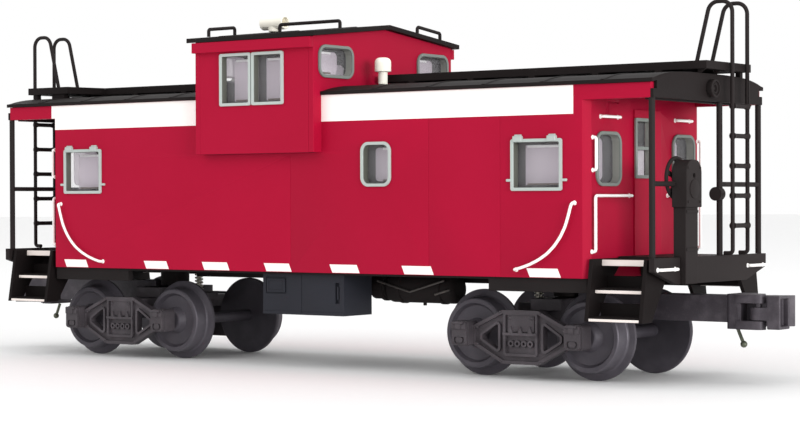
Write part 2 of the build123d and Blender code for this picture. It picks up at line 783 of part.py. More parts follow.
# Round lamps on the end fascias
lamp_radius = 2.35
lamp_depth = 1.8
lamp_height = eave - 0.6
lens_radius = 1.4
lens_depth = 0.6
with BuildPart() as end_lamps:
    with BuildSketch(Plane.YZ.offset(roof_end)):
        with Locations((0, up(lamp_height))):
            Circle(lamp_radius)
    extrude(amount=lamp_depth)
    with BuildSketch(Plane.YZ.offset(roof_end + lamp_depth)):
        with Locations((0, up(lamp_height))):
            Circle(lamp_radius - 0.5)
            Circle(lens_radius, mode=Mode.SUBTRACT)
    extrude(amount=-lens_depth, mode=Mode.SUBTRACT)
    mirror(about=Plane.YZ)
keep(end_lamps, "end_lamps")

# Equipment box and air brake gear under the floor
box_length = 29.0
box_front = truck_centre - 56.4
box_rear = box_front - box_length
box_near = side_half - 2.6
box_far = box_near - 12.8
box_bottom = -12.0
with BuildPart() as equipment_box:
    with BuildSketch(Plane.XY.offset(up(-floor_lip))):
        with Locations(((box_rear + box_front) / 2, -(box_near + box_far) / 2)):
            Rectangle(box_front - box_rear, box_near - box_far)
    extrude(amount=-(-floor_lip - box_bottom))
keep(equipment_box, "equipment_box")

tank_line = -9.0
tank_drop = 4.6
tank_radius = 4.0
tank_length = 23.8
tank_front = truck_centre - 29.7
tank_rear = tank_front - tank_length
tank_rounding = 1.8
with BuildPart() as air_reservoir:
    with BuildSketch(Plane.YZ.offset(tank_rear)):
        with Locations((tank_line, up(-tank_drop))):
            Circle(tank_radius)
    extrude(amount=tank_length)
    fillet(air_reservoir.edges(), radius=tank_rounding)
keep(air_reservoir, "air_reservoir")

cylinder_radius = 3.2
cylinder_length = 5.2
with BuildPart() as brake_cylinder:
    with BuildSketch(Plane.YZ.offset(tank_rear - cylinder_length)):
        with Locations((tank_line, up(-tank_drop))):
            Circle(cylinder_radius)
    extrude(amount=cylinder_length)
keep(brake_cylinder, "brake_cylinder")

rod_radius = 0.3
rod_line = tank_line - tank_radius - rod_radius - 0.1
brake_rod_routes = (
    # points along the car and below the walls, from the front end of the reservoir
    ((-25.3, -2.6), (-14.1, -5.4), (-2.4, -2.1)),
    ((-5.6, -6.0), (-0.6, -4.6)),
)
with BuildPart() as brake_rods:
    for route in brake_rod_routes:
        with BuildLine() as rod_path:
            Polyline(*[(tank_front + along, rod_line, up(height)) for along, height in route])
        with BuildSketch(Plane(origin=rod_path.line @ 0, z_dir=rod_path.line % 0)):
            Circle(rod_radius)
        sweep(path=rod_path.line, transition=Transition.ROUND)
keep(brake_rods, "brake_rods")

# Trucks: the kingpin hangs from the floor, the bolster turns on it
kingpin_head = 3.2
kingpin_head_skin = 1.0
pad_radius = bolster_half - 0.4
pad_depth = 6.0
bolster_top = -6.3
beam_top = -9.4
bolster_bottom = -13.0
beam_half = wheelbase / 2 - flange_radius - 1.1
block_half = wheel_back - 2.0
with BuildPart() as kingpins:
    for place in (truck_centre, -truck_centre):
        with BuildSketch(Plane.XY.offset(up(-floor_lip))):
            with Locations((place, 0)):
                Circle(pad_radius)
        extrude(amount=-(pad_depth - floor_lip))
        with BuildSketch(Plane.XY.offset(up(-floor_lip))):
            with Locations((place, 0)):
                Circle(kingpin_radius)
        extrude(amount=-(-floor_lip - bolster_bottom + lift_gap))
        with BuildSketch(Plane.XY.offset(up(bolster_bottom - lift_gap))):
            with Locations((place, 0)):
                Circle(kingpin_head)
        extrude(amount=-kingpin_head_skin)
keep(kingpins, "kingpins")

arm_half = 4.2
arm_top = -8.0
arm_skin = 2.4
arm_rear = 14.0
with BuildPart() as bolster:
    with BuildSketch(Plane.XY.offset(up(beam_top))):
        with Locations((truck_centre, 0)):
            Rectangle(2 * beam_half, 2 * frame_inside)
    extrude(amount=bolster_bottom - beam_top)
    with BuildSketch(Plane.XY.offset(up(bolster_top))):
        with Locations((truck_centre, 0)):
            Rectangle(2 * bolster_half, 2 * block_half)
    extrude(amount=bolster_bottom - bolster_top)
    with BuildSketch(Plane.XY.offset(up(bolster_top))):
        with Locations((truck_centre, 0)):
            Circle(kingpin_radius + running_gap)
    extrude(amount=bolster_bottom - bolster_top, mode=Mode.SUBTRACT)
    with BuildSketch(Plane.XY.offset(up(arm_top))):
        with Locations((truck_centre - (bolster_half + arm_rear) / 2, 0)):
            Rectangle(arm_rear - bolster_half, 2 * arm_half)
    extrude(amount=-arm_skin)
keep(bolster, "bolster_front")
keep_turned(bolster, "bolster_rear")

# Plated spring and its post on the inboard arm of each bolster
post_setback = 9.9
spring_post_radius = 0.8
spring_radius = 1.5
coil_skin = 0.5
coil_pitch = 1.0
coil_count = 5
spring_post_top = -2.0
with BuildPart() as spring_post:
    with BuildSketch(Plane.XY.offset(up(arm_top))):
        with Locations((truck_centre - post_setback, 0)):
            Circle(spring_post_radius)
    extrude(amount=spring_post_top - arm_top)
    for coil in range(coil_count):
        with BuildSketch(Plane.XY.offset(up(arm_top + coil_pitch * coil))):
            with Locations((truck_centre - post_setback, 0)):
                Circle(spring_radius)
        extrude(amount=coil_skin)
keep(spring_post, "spring_post_front")
keep_turned(spring_post, "spring_post_rear")

# Side frames: a plate with two windows, raised edges, the spring pocket and the journal boxes
frame_upper = -8.85
frame_lower = -23.0
frame_arm_top = -13.3
frame_arm_bottom = -18.0
frame_crown = 5.5
frame_arm_end = wheelbase / 2 - box_width / 2 + 0.3
frame_window_inner = 7.0
frame_window_outer = frame_arm_end - 3.1
frame_edge = 0.9
window_edge = 0.7
edge_height = 0.9
pocket_half = 5.3
pocket_top = -9.4
pocket_bottom = -20.9
bolster_end_half = 4.1
bolster_end_depth = 4.6
wedge_places = (-3.0, 0.0, 3.0)
spring_places = (-3.0, -1.0, 1.0, 3.0)
spring_level = -17.6
seat_bar_level = -15.1
journal_bore = 3.0
journal_level = -15.3


def side_outline(shrink):
    """The outline of a side frame as a face, made smaller all round by shrink."""
    with BuildSketch(Plane.XY, mode=Mode.PRIVATE) as outline:
        with BuildLine():
            Polyline(
                (truck_centre - frame_arm_end, up(frame_arm_top)), (truck_centre - frame_crown, up(frame_upper)),
                (truck_centre + frame_crown, up(frame_upper)), (truck_centre + frame_arm_end, up(frame_arm_top)),
                (truck_centre + frame_arm_end, up(frame_arm_bottom)), (truck_centre + frame_crown, up(frame_lower)),
                (truck_centre - frame_crown, up(frame_lower)), (truck_centre - frame_arm_end, up(frame_arm_bottom)),
                close=True)
        make_face()
        if shrink > 0:
            offset(amount=-shrink, kind=Kind.INTERSECTION, mode=Mode.REPLACE)
    return outline.sketch


def side_window(side, grow):
    """One of the two windows of a side frame as a face, made larger all round by grow."""
    with BuildSketch(Plane.XY, mode=Mode.PRIVATE) as outline:
        with BuildLine():
            Polyline(
                (truck_centre + side * frame_window_inner, up(-12.4)),
                (truck_centre + side * frame_window_outer, up(-15.6)),
                (truck_centre + side * frame_window_outer, up(-16.6)),
                (truck_centre + side * frame_window_inner, up(-19.5)), close=True)
        make_face()
        fillet(outline.vertices(), radius=0.4)
        if grow > 0:
            offset(amount=grow, mode=Mode.REPLACE)
    return outline.sketch


with BuildPart() as side_frames:
    with BuildSketch(Plane.XZ.offset(frame_inside)):
        add(side_outline(0))
        for side in (1, -1):
            add(side_window(side, 0), mode=Mode.SUBTRACT)
    extrude(amount=frame_plate)
    with BuildSketch(Plane.XZ.offset(frame_inside + frame_plate)):
        add(side_outline(0))
        add(side_outline(frame_edge), mode=Mode.SUBTRACT)
    extrude(amount=edge_height)
    with BuildSketch(Plane.XZ.offset(frame_inside + frame_plate)):
        for side in (1, -1):
            add(side_window(side, window_edge))
            add(side_window(side, 0), mode=Mode.SUBTRACT)
    extrude(amount=edge_height - 0.2)
    pocket_middle = up((pocket_top + pocket_bottom) / 2)
    pocket_height = pocket_top - pocket_bottom
    with BuildSketch(Plane.XZ.offset(frame_inside + frame_plate)):
        with Locations((truck_centre, pocket_middle)):
            RectangleRounded(2 * pocket_half, pocket_height, 0.8)
            pocket_width = 2 * (pocket_half - window_edge)
            RectangleRounded(pocket_width, pocket_height - 2 * window_edge, 0.4, mode=Mode.SUBTRACT)
    extrude(amount=edge_height)
    with BuildSketch(Plane.XZ.offset(frame_inside + frame_plate)):
        with Locations((truck_centre, up(pocket_top - 0.5 - bolster_end_depth / 2))):
            Rectangle(2 * bolster_end_half, bolster_end_depth)
    extrude(amount=edge_height - 0.4)
    with BuildSketch(Plane.XZ.offset(frame_inside + frame_plate)):
        for place in wedge_places:
            with BuildLine():
                Polyline(
                    (truck_centre + place - 0.8, up(seat_bar_level)),
                    (truck_centre + place + 0.8, up(seat_bar_level)),
                    (truck_centre + place, up(seat_bar_level + 2.1)), close=True)
            make_face()
    extrude(amount=edge_height + 0.1)
    with BuildSketch(Plane.XZ.offset(frame_inside + frame_plate)):
        with Locations((truck_centre, up(seat_bar_level))):
            Rectangle(2 * pocket_half, 0.7)
    extrude(amount=edge_height + 0.3)
    with BuildSketch(Plane.XZ.offset(frame_inside + frame_plate)):
        with Locations(*[(truck_centre + place, up(spring_level)) for place in spring_places]):
            Circle(0.9)
            Circle(0.4, mode=Mode.SUBTRACT)
    extrude(amount=edge_height - 0.1)
    for side in (1, -1):
        box_line = truck_centre + side * wheelbase / 2
        with BuildSketch(Plane.XZ.offset(frame_inside)):
            with Locations((box_line, up(journal_level))):
                RectangleRounded(box_width, box_height, 0.9)
        extrude(amount=box_face - 0.7 - frame_inside)
        with BuildSketch(Plane.XZ.offset(box_face - 0.7)):
            with Locations((box_line, up(journal_level))):
                RectangleRounded(box_width - 0.5, box_height - 0.4, 0.8)
        extrude(amount=0.7)
        with BuildSketch(Plane.XZ.offset(box_face)):
            with Locations((box_line, up(journal_level + box_height / 2 - 1.2))):
                Rectangle(box_width - 0.7, 1.8)
        extrude(amount=0.35)
        with BuildSketch(Plane.XZ.offset(box_face)):
            with Locations((box_line, up(journal_level + box_height / 2 - 1.1))):
                Rectangle(1.6, 2.0)
        extrude(amount=0.7)
        with BuildSketch(Plane.XZ.offset(box_face)):
            with Locations((box_line, up(journal_level - 1.7))):
                RectangleRounded(3.2, 2.4, 1.1)
                RectangleRounded(2.2, 1.4, 0.6, mode=Mode.SUBTRACT)
            with Locations((box_line, up(journal_level - 0.2))):
                Rectangle(4.0, 1.4, mode=Mode.SUBTRACT)
        extrude(amount=-0.4, mode=Mode.SUBTRACT)
        with BuildSketch(Plane.XZ.offset(frame_inside)):
            with Locations((box_line, up(-axle_drop))):
                Circle(journal_radius + running_gap)
        extrude(amount=journal_bore, mode=Mode.SUBTRACT)
    mirror(about=Plane.XZ)
keep(side_frames, "side_frames_front")
keep_turned(side_frames, "side_frames_rear")

# Wheelsets: axle, journals and two wheels turned in one piece
journal_end = frame_inside + 2.6
hub_radius = 3.0
hub_face = 20.8
wheelset_places = (
    # name, place along the car
    ("wheelset_front_outer", truck_centre + wheelbase / 2),
    ("wheelset_front_inner", truck_centre - wheelbase / 2),
    ("wheelset_rear_inner", -(truck_centre - wheelbase / 2)),
    ("wheelset_rear_outer", -(truck_centre + wheelbase / 2)),
)
for node, place in wheelset_places:
    with BuildPart() as wheelset:
        with BuildSketch(Plane(origin=(place, 0, flange_radius), x_dir=(0, 1, 0), z_dir=(1, 0, 0))):
            with BuildLine():
                Polyline(
                    (0, 0), (0, axle_radius), (wheel_back, axle_radius), (wheel_back, flange_radius - 0.3),
                    (wheel_back + 0.3, flange_radius), (wheel_back + flange_width - 0.4, flange_radius),
                    (wheel_back + flange_width, tread_radius + 0.6),
                    (wheel_back + flange_width + 0.4, tread_radius + 0.15),
                    (wheel_face - 0.3, tread_radius - 0.2), (wheel_face, tread_radius - 0.5),
                    (wheel_face, tread_radius - 1.5), (wheel_face - 1.2, tread_radius - 2.2),
                    (wheel_face - 1.2, hub_radius + 1.0), (hub_face - 0.2, hub_radius),
                    (hub_face, hub_radius - 0.4),
                    (hub_face, journal_radius), (journal_end, journal_radius), (journal_end, 0), close=True)
            make_face()
        revolve(axis=Axis((place, 0, flange_radius), (0, 1, 0)))
        mirror(about=Plane.XZ)
    keep(wheelset, node)

# Couplers: tongue over the outer axle, head with a guard arm and two ears that hold the knuckle
tongue_half = 3.6
neck = 4.2
core_end = 8.0
ear_depth = 2.2
ear_radius = 1.9
head_near = -5.0
head_far = 4.6
pin_x = head_rear + 8.7
pin_y = -3.9
with BuildPart() as coupler:
    with BuildSketch(Plane.XY.offset(up(tongue_top))):
        with Locations(((truck_centre + bolster_half + head_rear) / 2, 0)):
            Rectangle(head_rear - truck_centre - bolster_half, 2 * tongue_half)
    extrude(amount=-tongue_height)
    with BuildSketch(Plane.XY.offset(up(head_top))) as head_block:
        with BuildLine():
            Polyline(
                (head_rear, head_near), (head_rear + neck, head_near), (head_rear + neck, pin_y + ear_radius + 0.5),
                (head_rear + core_end, pin_y + ear_radius + 0.5), (head_rear + core_end, 1.6),
                (head_rear + neck, 1.6),
                (head_rear + neck, head_far), (head_rear, head_far), close=True)
        make_face()
        fillet(head_block.vertices().group_by(Axis.X)[0], radius=1.2)
    extrude(amount=-head_height)
    with BuildSketch(Plane.XY.offset(up(head_top - 0.5))):
        with BuildLine():
            Polyline(
                (head_rear + neck - 1, 1.6), (head_rear + core_end, 1.6), (head_rear + 10.4, 3.0),
                (head_rear + 13.8, 6.2),
                (head_rear + 13.2, 7.8), (head_rear + 9.4, 5.6), (head_rear + neck - 1, head_far), close=True)
        make_face()
    extrude(amount=-(head_height - 1.0))
    for ear_top in (head_top, head_bottom + ear_depth):
        with BuildSketch(Plane.XY.offset(up(ear_top))):
            with BuildLine():
                Polyline(
                    (head_rear + neck - 1, pin_y - ear_radius), (pin_x, pin_y - ear_radius),
                    (pin_x, pin_y + ear_radius), (head_rear + neck - 1, pin_y + ear_radius), close=True)
            make_face()
            with Locations((pin_x, pin_y)):
                Circle(ear_radius)
        extrude(amount=-ear_depth)
    with BuildSketch(Plane.XY.offset(up(head_top))):
        with Locations((pin_x, pin_y)):
            Circle(knuckle_pin_radius)
    extrude(amount=-head_height)
keep(coupler, "coupler_front")
keep_turned(coupler, "coupler_rear")

knuckle_gap = 0.2
hub_top = head_top - ear_depth - 1.0
hub_bottom = head_bottom + ear_depth + knuckle_gap
knuckle_hub = 2.0
nose_back = pin_x + ear_radius + 1.1
nose_front = nose_back + 3.6
nose_near = -5.5
nose_far = 0.4
nose_rim = 0.8
with BuildPart() as knuckle:
    with BuildSketch(Plane.XY.offset(up(hub_top))):
        with Locations((pin_x, pin_y)):
            Circle(knuckle_hub)
        with BuildLine():
            Polyline(
                (pin_x, pin_y - 1.6), (nose_back + 1, pin_y - 1.6), (nose_back + 1, pin_y + 1.8),
                (pin_x, pin_y + 1.8), close=True)
        make_face()
        with Locations((pin_x, pin_y)):
            Circle(knuckle_pin_radius + running_gap, mode=Mode.SUBTRACT)
    extrude(amount=-(hub_top - hub_bottom))
    with BuildSketch(Plane.XY.offset(up(head_top - knuckle_gap))) as nose:
        with BuildLine():
            Polyline(
                (nose_back, nose_near), (nose_front, nose_near), (nose_front, nose_far),
                (nose_back - 0.9, nose_far),
                (nose_back - 0.9, nose_far - 1.3), (nose_back, nose_far - 2.0), close=True)
        make_face()
    extrude(amount=-(head_height - 2 * knuckle_gap))
    with BuildSketch(Plane.YZ.offset(nose_front)):
        with Locations(((nose_near + nose_far) / 2, up((head_top + head_bottom) / 2))):
            Rectangle(nose_far - nose_near - 2 * nose_rim, head_height - 2 * knuckle_gap - 2 * nose_rim)
    extrude(amount=-1.6, mode=Mode.SUBTRACT)
keep(knuckle, "knuckle_front")
keep_turned(knuckle, "knuckle_rear")

uncoupling_pin_radius = 0.45
uncoupling_knob = 0.9
uncoupling_drop = 4.1
uncoupling_gap = 0.25
with BuildPart() as uncoupling_pin:
    with BuildLine() as pin_path:
        Line(
            (head_rear + 0.9, 0, up(head_bottom - uncoupling_gap)),
            (head_rear + 2.6, 0, up(head_bottom - uncoupling_drop)))
    with BuildSketch(Plane(origin=pin_path.line @ 0, z_dir=pin_path.line % 0)):
        Circle(uncoupling_pin_radius)
    sweep(path=pin_path.line)
    with Locations(pin_path.line @ 1):
        Sphere(uncoupling_knob)
keep(uncoupling_pin, "uncoupling_pin_front")
keep_turned(uncoupling_pin, "uncoupling_pin_rear")
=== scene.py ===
"""The looks of a quarter-inch scale model caboose: moulded body, cast trucks, wire rails, windows and paint."""
import json
import math

import bmesh
import bpy
from mathutils import Matrix, Vector


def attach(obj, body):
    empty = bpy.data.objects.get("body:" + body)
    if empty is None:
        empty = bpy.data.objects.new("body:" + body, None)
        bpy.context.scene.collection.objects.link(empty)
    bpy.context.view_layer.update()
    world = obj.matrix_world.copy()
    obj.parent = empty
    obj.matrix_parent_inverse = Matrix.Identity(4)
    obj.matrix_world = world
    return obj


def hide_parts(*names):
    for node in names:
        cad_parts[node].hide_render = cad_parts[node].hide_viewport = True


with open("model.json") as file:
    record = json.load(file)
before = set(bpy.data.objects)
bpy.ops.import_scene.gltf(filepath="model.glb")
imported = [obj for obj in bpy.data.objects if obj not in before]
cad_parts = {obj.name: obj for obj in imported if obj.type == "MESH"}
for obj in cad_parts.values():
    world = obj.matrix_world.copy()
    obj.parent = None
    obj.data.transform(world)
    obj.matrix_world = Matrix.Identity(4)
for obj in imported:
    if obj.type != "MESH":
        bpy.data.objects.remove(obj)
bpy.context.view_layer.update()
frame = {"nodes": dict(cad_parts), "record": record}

# Sizes of the model in millimetres, heights given from the bottom edge of the walls
MM = 0.001
BODY_BOTTOM = 27.1
BODY_HALF = 95.5
SIDE_HALF = 29.6
WALL = 1.8
EAVE = 49.2
RIDGE = 52.3
ROOF_SKIN = 1.0
ROOF_SLOPE = (RIDGE - EAVE) / SIDE_HALF
ROOF_END = 114.4
FASCIA_BOTTOM = 45.3
CUPOLA_REAR = -33.5
CUPOLA_FRONT = 9.8
CUPOLA_HALF = 33.1
CUPOLA_BOTTOM = 33.3
CUPOLA_EAVE = 65.4
WALK_TOP = 55.6
DECK_TOP = 5.4
DECK_END = 115.0
DOOR_FACE = 96.0
TRUCK = 71.8
AXLE_OFFSET = 17.5
AXLE_HEIGHT = 11.6
JOINED = 0.002  # corners nearer than this are one corner


def up(height):
    """Height above the floor of a height given from the bottom edge of the walls."""
    return BODY_BOTTOM + height


# ---- shader maths


def sum_of(operation, swapped=False):
    """An operator that joins a shade and another value in a maths node."""
    def combine(shade, other):
        values = {0: other, 1: shade} if swapped else {0: shade, 1: other}
        return shade.finish.node("ShaderNodeMath", {"operation": operation}, values)
    return combine


class Shade:
    """A socket of a material's nodes that can stand in a sum."""

    def __init__(self, finish, socket):
        self.finish = finish
        self.socket = socket

    __add__, __radd__ = sum_of("ADD"), sum_of("ADD", True)
    __sub__, __rsub__ = sum_of("SUBTRACT"), sum_of("SUBTRACT", True)
    __mul__, __rmul__ = sum_of("MULTIPLY"), sum_of("MULTIPLY", True)

    def __abs__(self):
        return self.finish.node("ShaderNodeMath", {"operation": "ABSOLUTE"}, {0: self})

    def above(self, edge, blur):
        """One where the value is above the edge, nought below it, with a soft step between."""
        limits = {"Value": self, "From Min": edge - blur, "From Max": edge + blur}
        return self.finish.node("ShaderNodeMapRange", {"interpolation_type": "SMOOTHSTEP"}, limits)

    def below(self, edge, blur):
        return 1 - self.above(edge, blur)


class Finish:
    """A material put together from nodes around one principled shader."""

    def __init__(self, name, **constants):
        self.material = bpy.data.materials.new(name)
        self.material.use_nodes = True
        self.tree = self.material.node_tree
        self.tree.nodes.clear()
        self.output = self.tree.nodes.new("ShaderNodeOutputMaterial")
        self.shader = self.tree.nodes.new("ShaderNodeBsdfPrincipled")
        self.tree.links.new(self.shader.outputs[0], self.output.inputs["Surface"])
        for name, value in constants.items():
            self.shader.inputs[name.replace("_", " ")].default_value = value
        self.place = self.node("ShaderNodeTexCoord", output="Object")

    def node(self, kind, settings=None, values=None, output=0):
        """Adds one node: its settings first, then its sockets' values or links."""
        made = self.tree.nodes.new(kind)
        for name, value in (settings or {}).items():
            setattr(made, name, value)
        for name, value in (values or {}).items():
            self.feed(made.inputs[name], value)
        return Shade(self, made.outputs[output])

    def feed(self, socket, value):
        if isinstance(value, Shade):
            self.tree.links.new(value.socket, socket)
        else:
            socket.default_value = value

    def axes(self):
        """The three coordinates of a point of the piece, in metres."""
        return [self.node("ShaderNodeSeparateXYZ", None, {0: self.place}, axis) for axis in range(3)]

    def noise(self, size, detail=2.0, stretch=(1, 1, 1)):
        """Cloudy variation from nought to one, with patches of a size in millimetres."""
        spot = self.node("ShaderNodeVectorMath", {"operation": "MULTIPLY"}, {0: self.place, 1: stretch})
        return self.node("ShaderNodeTexNoise", None, {"Vector": spot, "Scale": 1 / (size * MM), "Detail": detail})

    def blend(self, amount, first, second):
        """A colour between two colours."""
        return self.node("ShaderNodeMix", {"data_type": "RGBA"}, {0: amount, 6: first, 7: second}, 2)

    def bump(self, height, depth):
        """Feeds a height from nought to one into the surface, with its depth in millimetres."""
        values = {"Height": height, "Distance": depth * MM}
        self.feed(self.shader.inputs["Normal"], self.node("ShaderNodeBump", None, values))

    def set(self, **values):
        for name, value in values.items():
            self.feed(self.shader.inputs[name.replace("_", " ")], value)


def tint(red, green, blue):
    """A colour as it is seen, from 0 to 255, made into the shader's own scale."""
    seen = (red / 255, green / 255, blue / 255)
    return tuple(((v + 0.055) / 1.055) ** 2.4 if v > 0.0404 else v / 12.92 for v in seen) + (1.0,)


# ---- finishes


def moulded_paint(name, colour, cloud_colour, roughness, peel, gloss, inner_shade=None):
    """Sprayed paint on a moulding: faint clouds in colour and gloss, and a fine orange peel, with the inner faces
    of a room painted dark as shade.
    """
    finish = Finish(name, Specular_IOR_Level=gloss)
    clouds = finish.noise(34.0, 3.0)
    grain = finish.noise(0.55, 2.0)
    colour_node = finish.blend(clouds.above(0.5, 0.35), colour, cloud_colour)
    if inner_shade is not None:
        # the inner faces of the room are painted near black: painted shade of the closed room
        colour_node = finish.blend(inner_shade(finish), colour_node, tint(44, 36, 36))
    finish.set(Base_Color=colour_node, Roughness=roughness + 0.08 * clouds + 0.05 * grain)
    finish.bump(grain + 0.6 * finish.noise(1.6, 1.0), peel)
    return finish.material


def inner_shade_mask(middle, along, across):
    """A mask that is one within a room's inner faces and nought outside it, for the painted shade of the room's
    inside.
    """
    def mask(finish):
        x, y = finish.axes()[:2]
        return abs(x - middle * MM).below((along - WALL + 0.3) * MM, 0.05 * MM) \
            * abs(y).below((across - WALL + 0.3) * MM, 0.05 * MM)
    return mask


def cast_metal(name, colour, worn, roughness, metallic, grit, wear_size):
    """A painted or blackened casting: grainy skin with patches rubbed lighter."""
    finish = Finish(name, Specular_IOR_Level=0.35)
    grain = finish.noise(0.35, 4.0)
    patches = finish.noise(wear_size, 4.0)
    rubbed = patches.above(0.6, 0.14) * 0.5 + grain.above(0.62, 0.12) * 0.25
    finish.set(
        Base_Color=finish.blend(rubbed, colour, worn), Metallic=metallic,
        Roughness=roughness + 0.14 * grain - 0.1 * rubbed)
    finish.bump(grain + 0.5 * finish.noise(1.4, 2.0), grit)
    return finish.material


TREAD_FROM = 9.05
TREAD_INSIDE = 15.9
MARK_PITCH = 0.34


def wheel_steel():
    """Turned wheels: dull faces with fine turning marks, brighter treads and flanges."""
    finish = Finish("turned_wheel_metal", Specular_IOR_Level=0.35)
    x, y, z = finish.axes()
    along = abs(abs(x) - TRUCK * MM) - AXLE_OFFSET * MM
    spot = finish.node("ShaderNodeCombineXYZ", None, {0: along, 1: z - AXLE_HEIGHT * MM})
    radius = finish.node("ShaderNodeVectorMath", {"operation": "LENGTH"}, {0: spot}, 1)
    waves = radius * (2 * math.pi / (MARK_PITCH * MM))
    turned_marks = finish.node("ShaderNodeMath", {"operation": "SINE"}, {0: waves})
    grain = finish.noise(0.5, 3.0)
    tread = radius.above(TREAD_FROM * MM, 0.05 * MM) * abs(y).above(TREAD_INSIDE * MM, 0.2 * MM)
    dust = finish.noise(5.0, 4.0).above(0.55, 0.2)
    face = finish.blend(0.5 * dust, tint(70, 66, 73), tint(88, 84, 90))
    finish.set(
        Base_Color=finish.blend(tread, face, tint(92, 88, 95)),
        Metallic=0.15 + 0.25 * tread, Roughness=0.5 - 0.12 * tread + 0.12 * grain)
    finish.bump(0.5 + 0.25 * turned_marks + 0.4 * grain, 0.02)
    return finish.material


def window_plastic(name, colour, cloud_colour, see_through, roughness, painted_glow, passing):
    """Clear window mouldings, or pale plates that stand for a painted reflection on the glass, with faint flow
    lines and a painted glow, passing on some of the light from behind.
    """
    # the emission is a painted glow, as there is no lamp inside
    finish = Finish(name, IOR=1.46, Specular_IOR_Level=0.3, Emission_Strength=painted_glow)
    haze = finish.noise(9.0, 2.0, (1, 1, 0.35))
    shade = finish.blend(haze, colour, cloud_colour)
    finish.set(Base_Color=shade, Emission_Color=shade)
    finish.set(Alpha=1 - see_through + 0.05 * haze, Roughness=roughness + 0.05 * haze)
    finish.bump(finish.noise(6.0, 1.0, (1, 1, 0.3)), 0.015)
    if passing > 0:
        milk = finish.tree.nodes.new("ShaderNodeBsdfTranslucent")
        mixed = finish.tree.nodes.new("ShaderNodeMixShader")
        milk.inputs["Color"].default_value = colour
        finish.feed(mixed.inputs[0], passing + 0.04 * haze)
        finish.tree.links.new(finish.shader.outputs[0], mixed.inputs[1])
        finish.tree.links.new(milk.outputs[0], mixed.inputs[2])
        finish.tree.links.new(mixed.outputs[0], finish.output.inputs["Surface"])
    return finish.material


def floor_paper():
    """Pale seamless paper with a faint tooth."""
    finish = Finish("pale_floor", Roughness=0.9, Specular_IOR_Level=0.1)
    tooth = finish.noise(3.0, 3.0)
    finish.set(Base_Color=finish.blend(tooth, tint(243, 243, 243), tint(247, 247, 247)))
    finish.bump(tooth, 0.02)
    return finish.material


RED = ((162, 13, 47), (168, 15, 51))
# masks of the cabin's and the cupola's inner faces, which get painted shade
CABIN = inner_shade_mask(0.0, BODY_HALF, SIDE_HALF)
LOOKOUT = inner_shade_mask((CUPOLA_FRONT + CUPOLA_REAR) / 2, (CUPOLA_FRONT - CUPOLA_REAR) / 2, CUPOLA_HALF)
PAINTS = (
    # key, name, colour and cloud colour, roughness, depth of the peel, gloss, mask of the inside painted dark as
    # shade
    ("body", "crimson_body_paint", *RED, 0.42, 0.012, 0.07, CABIN),
    ("cupola", "crimson_cupola_paint", *RED, 0.42, 0.012, 0.07, LOOKOUT),
    ("crimson", "crimson_paint", *RED, 0.42, 0.012, 0.07),
    ("roof", "brown_black_roof", (29, 25, 25), (36, 31, 31), 0.5, 0.03, 0.06),
    ("black", "satin_black_moulding", (36, 32, 32), (43, 38, 38), 0.45, 0.012, 0.06),
    ("step", "satin_black_steps", (24, 20, 20), (29, 25, 25), 0.45, 0.012, 0.05),
    ("underframe", "underframe_black", (32, 29, 29), (40, 36, 36), 0.55, 0.03, 0.06),
    ("white", "white_lacquer", (252, 248, 245), (255, 252, 249), 0.35, 0.01, 0.4),
    ("band", "white_band_paint", (252, 244, 241), (255, 248, 245), 0.4, 0.008, 0.07),
    ("edge", "pale_step_edge", (232, 220, 214), (243, 234, 228), 0.45, 0.02, 0.07),
    ("frame", "grey_window_trim", (172, 181, 177), (184, 192, 188), 0.42, 0.012, 0.07),
    # end window frames: the grey trim darkened as painted shade
    ("dull_frame", "dull_grey_window_trim", (118, 124, 120), (132, 137, 133), 0.42, 0.012, 0.07),
    # side window sleeves: darkened as painted shade in the reveals
    ("reveal", "dark_window_sleeve", (92, 93, 86), (102, 103, 96), 0.5, 0.012, 0.07),
    # end window sleeves: a lightened copy, as painted light
    ("pale_reveal", "pale_window_sleeve", (138, 139, 133), (150, 151, 145), 0.5, 0.012, 0.07),
    ("ivory", "ivory_moulding", (250, 245, 230), (254, 250, 238), 0.5, 0.02, 0.07),
    ("box", "blue_black_box", (38, 39, 45), (46, 47, 54), 0.45, 0.02, 0.12),
    # a bar of painted highlight along the top edge of each window plate
    ("rim", "bright_moulded_rim", (250, 248, 250), (255, 254, 255), 0.3, 0.012, 0.5),
    # a bar of painted shade along the bottom edge of each window plate
    ("sill", "brown_moulded_sill", (92, 76, 66), (112, 94, 82), 0.5, 0.012, 0.07),
)
CASTINGS = (
    # key, name, colour and worn colour, roughness, metallic, grit, size of the worn patches
    ("truck", "cast_truck_metal", (64, 59, 63), (92, 86, 91), 0.46, 0.2, 0.03, 7.0),
    ("coupler", "cast_coupler_metal", (62, 57, 63), (92, 86, 92), 0.42, 0.25, 0.03, 4.0),
    ("pin", "plated_pin", (90, 94, 80), (140, 142, 124), 0.35, 0.5, 0.01, 2.0),
    ("spring", "plated_spring", (205, 200, 188), (240, 236, 226), 0.3, 0.6, 0.01, 2.0),
    ("rod", "rod_metal", (84, 80, 78), (130, 124, 118), 0.36, 0.6, 0.01, 3.0),
)
PLASTICS = (
    # key, name, colour and cloud colour, how see-through, roughness, painted glow, share of light passed on
    ("pane", "clear_window_plastic", (232, 230, 234), (242, 240, 244), 0.94, 0.05, 0.0, 0.0),
    # the pale plates behind the panes: a painted reflection on the glass, with a painted glow
    ("milk", "milky_window_plastic", (226, 214, 226), (236, 224, 234), 0.64, 0.25, 0.28, 0.2),
)
finishes = {"wheel": wheel_steel()}
for make, rows in ((moulded_paint, PAINTS), (cast_metal, CASTINGS), (window_plastic, PLASTICS)):
    for key, name, colour, other_colour, *rest in rows:
        finishes[key] = make(name, tint(*colour), tint(*other_colour), *rest)

# ---- mesh helpers


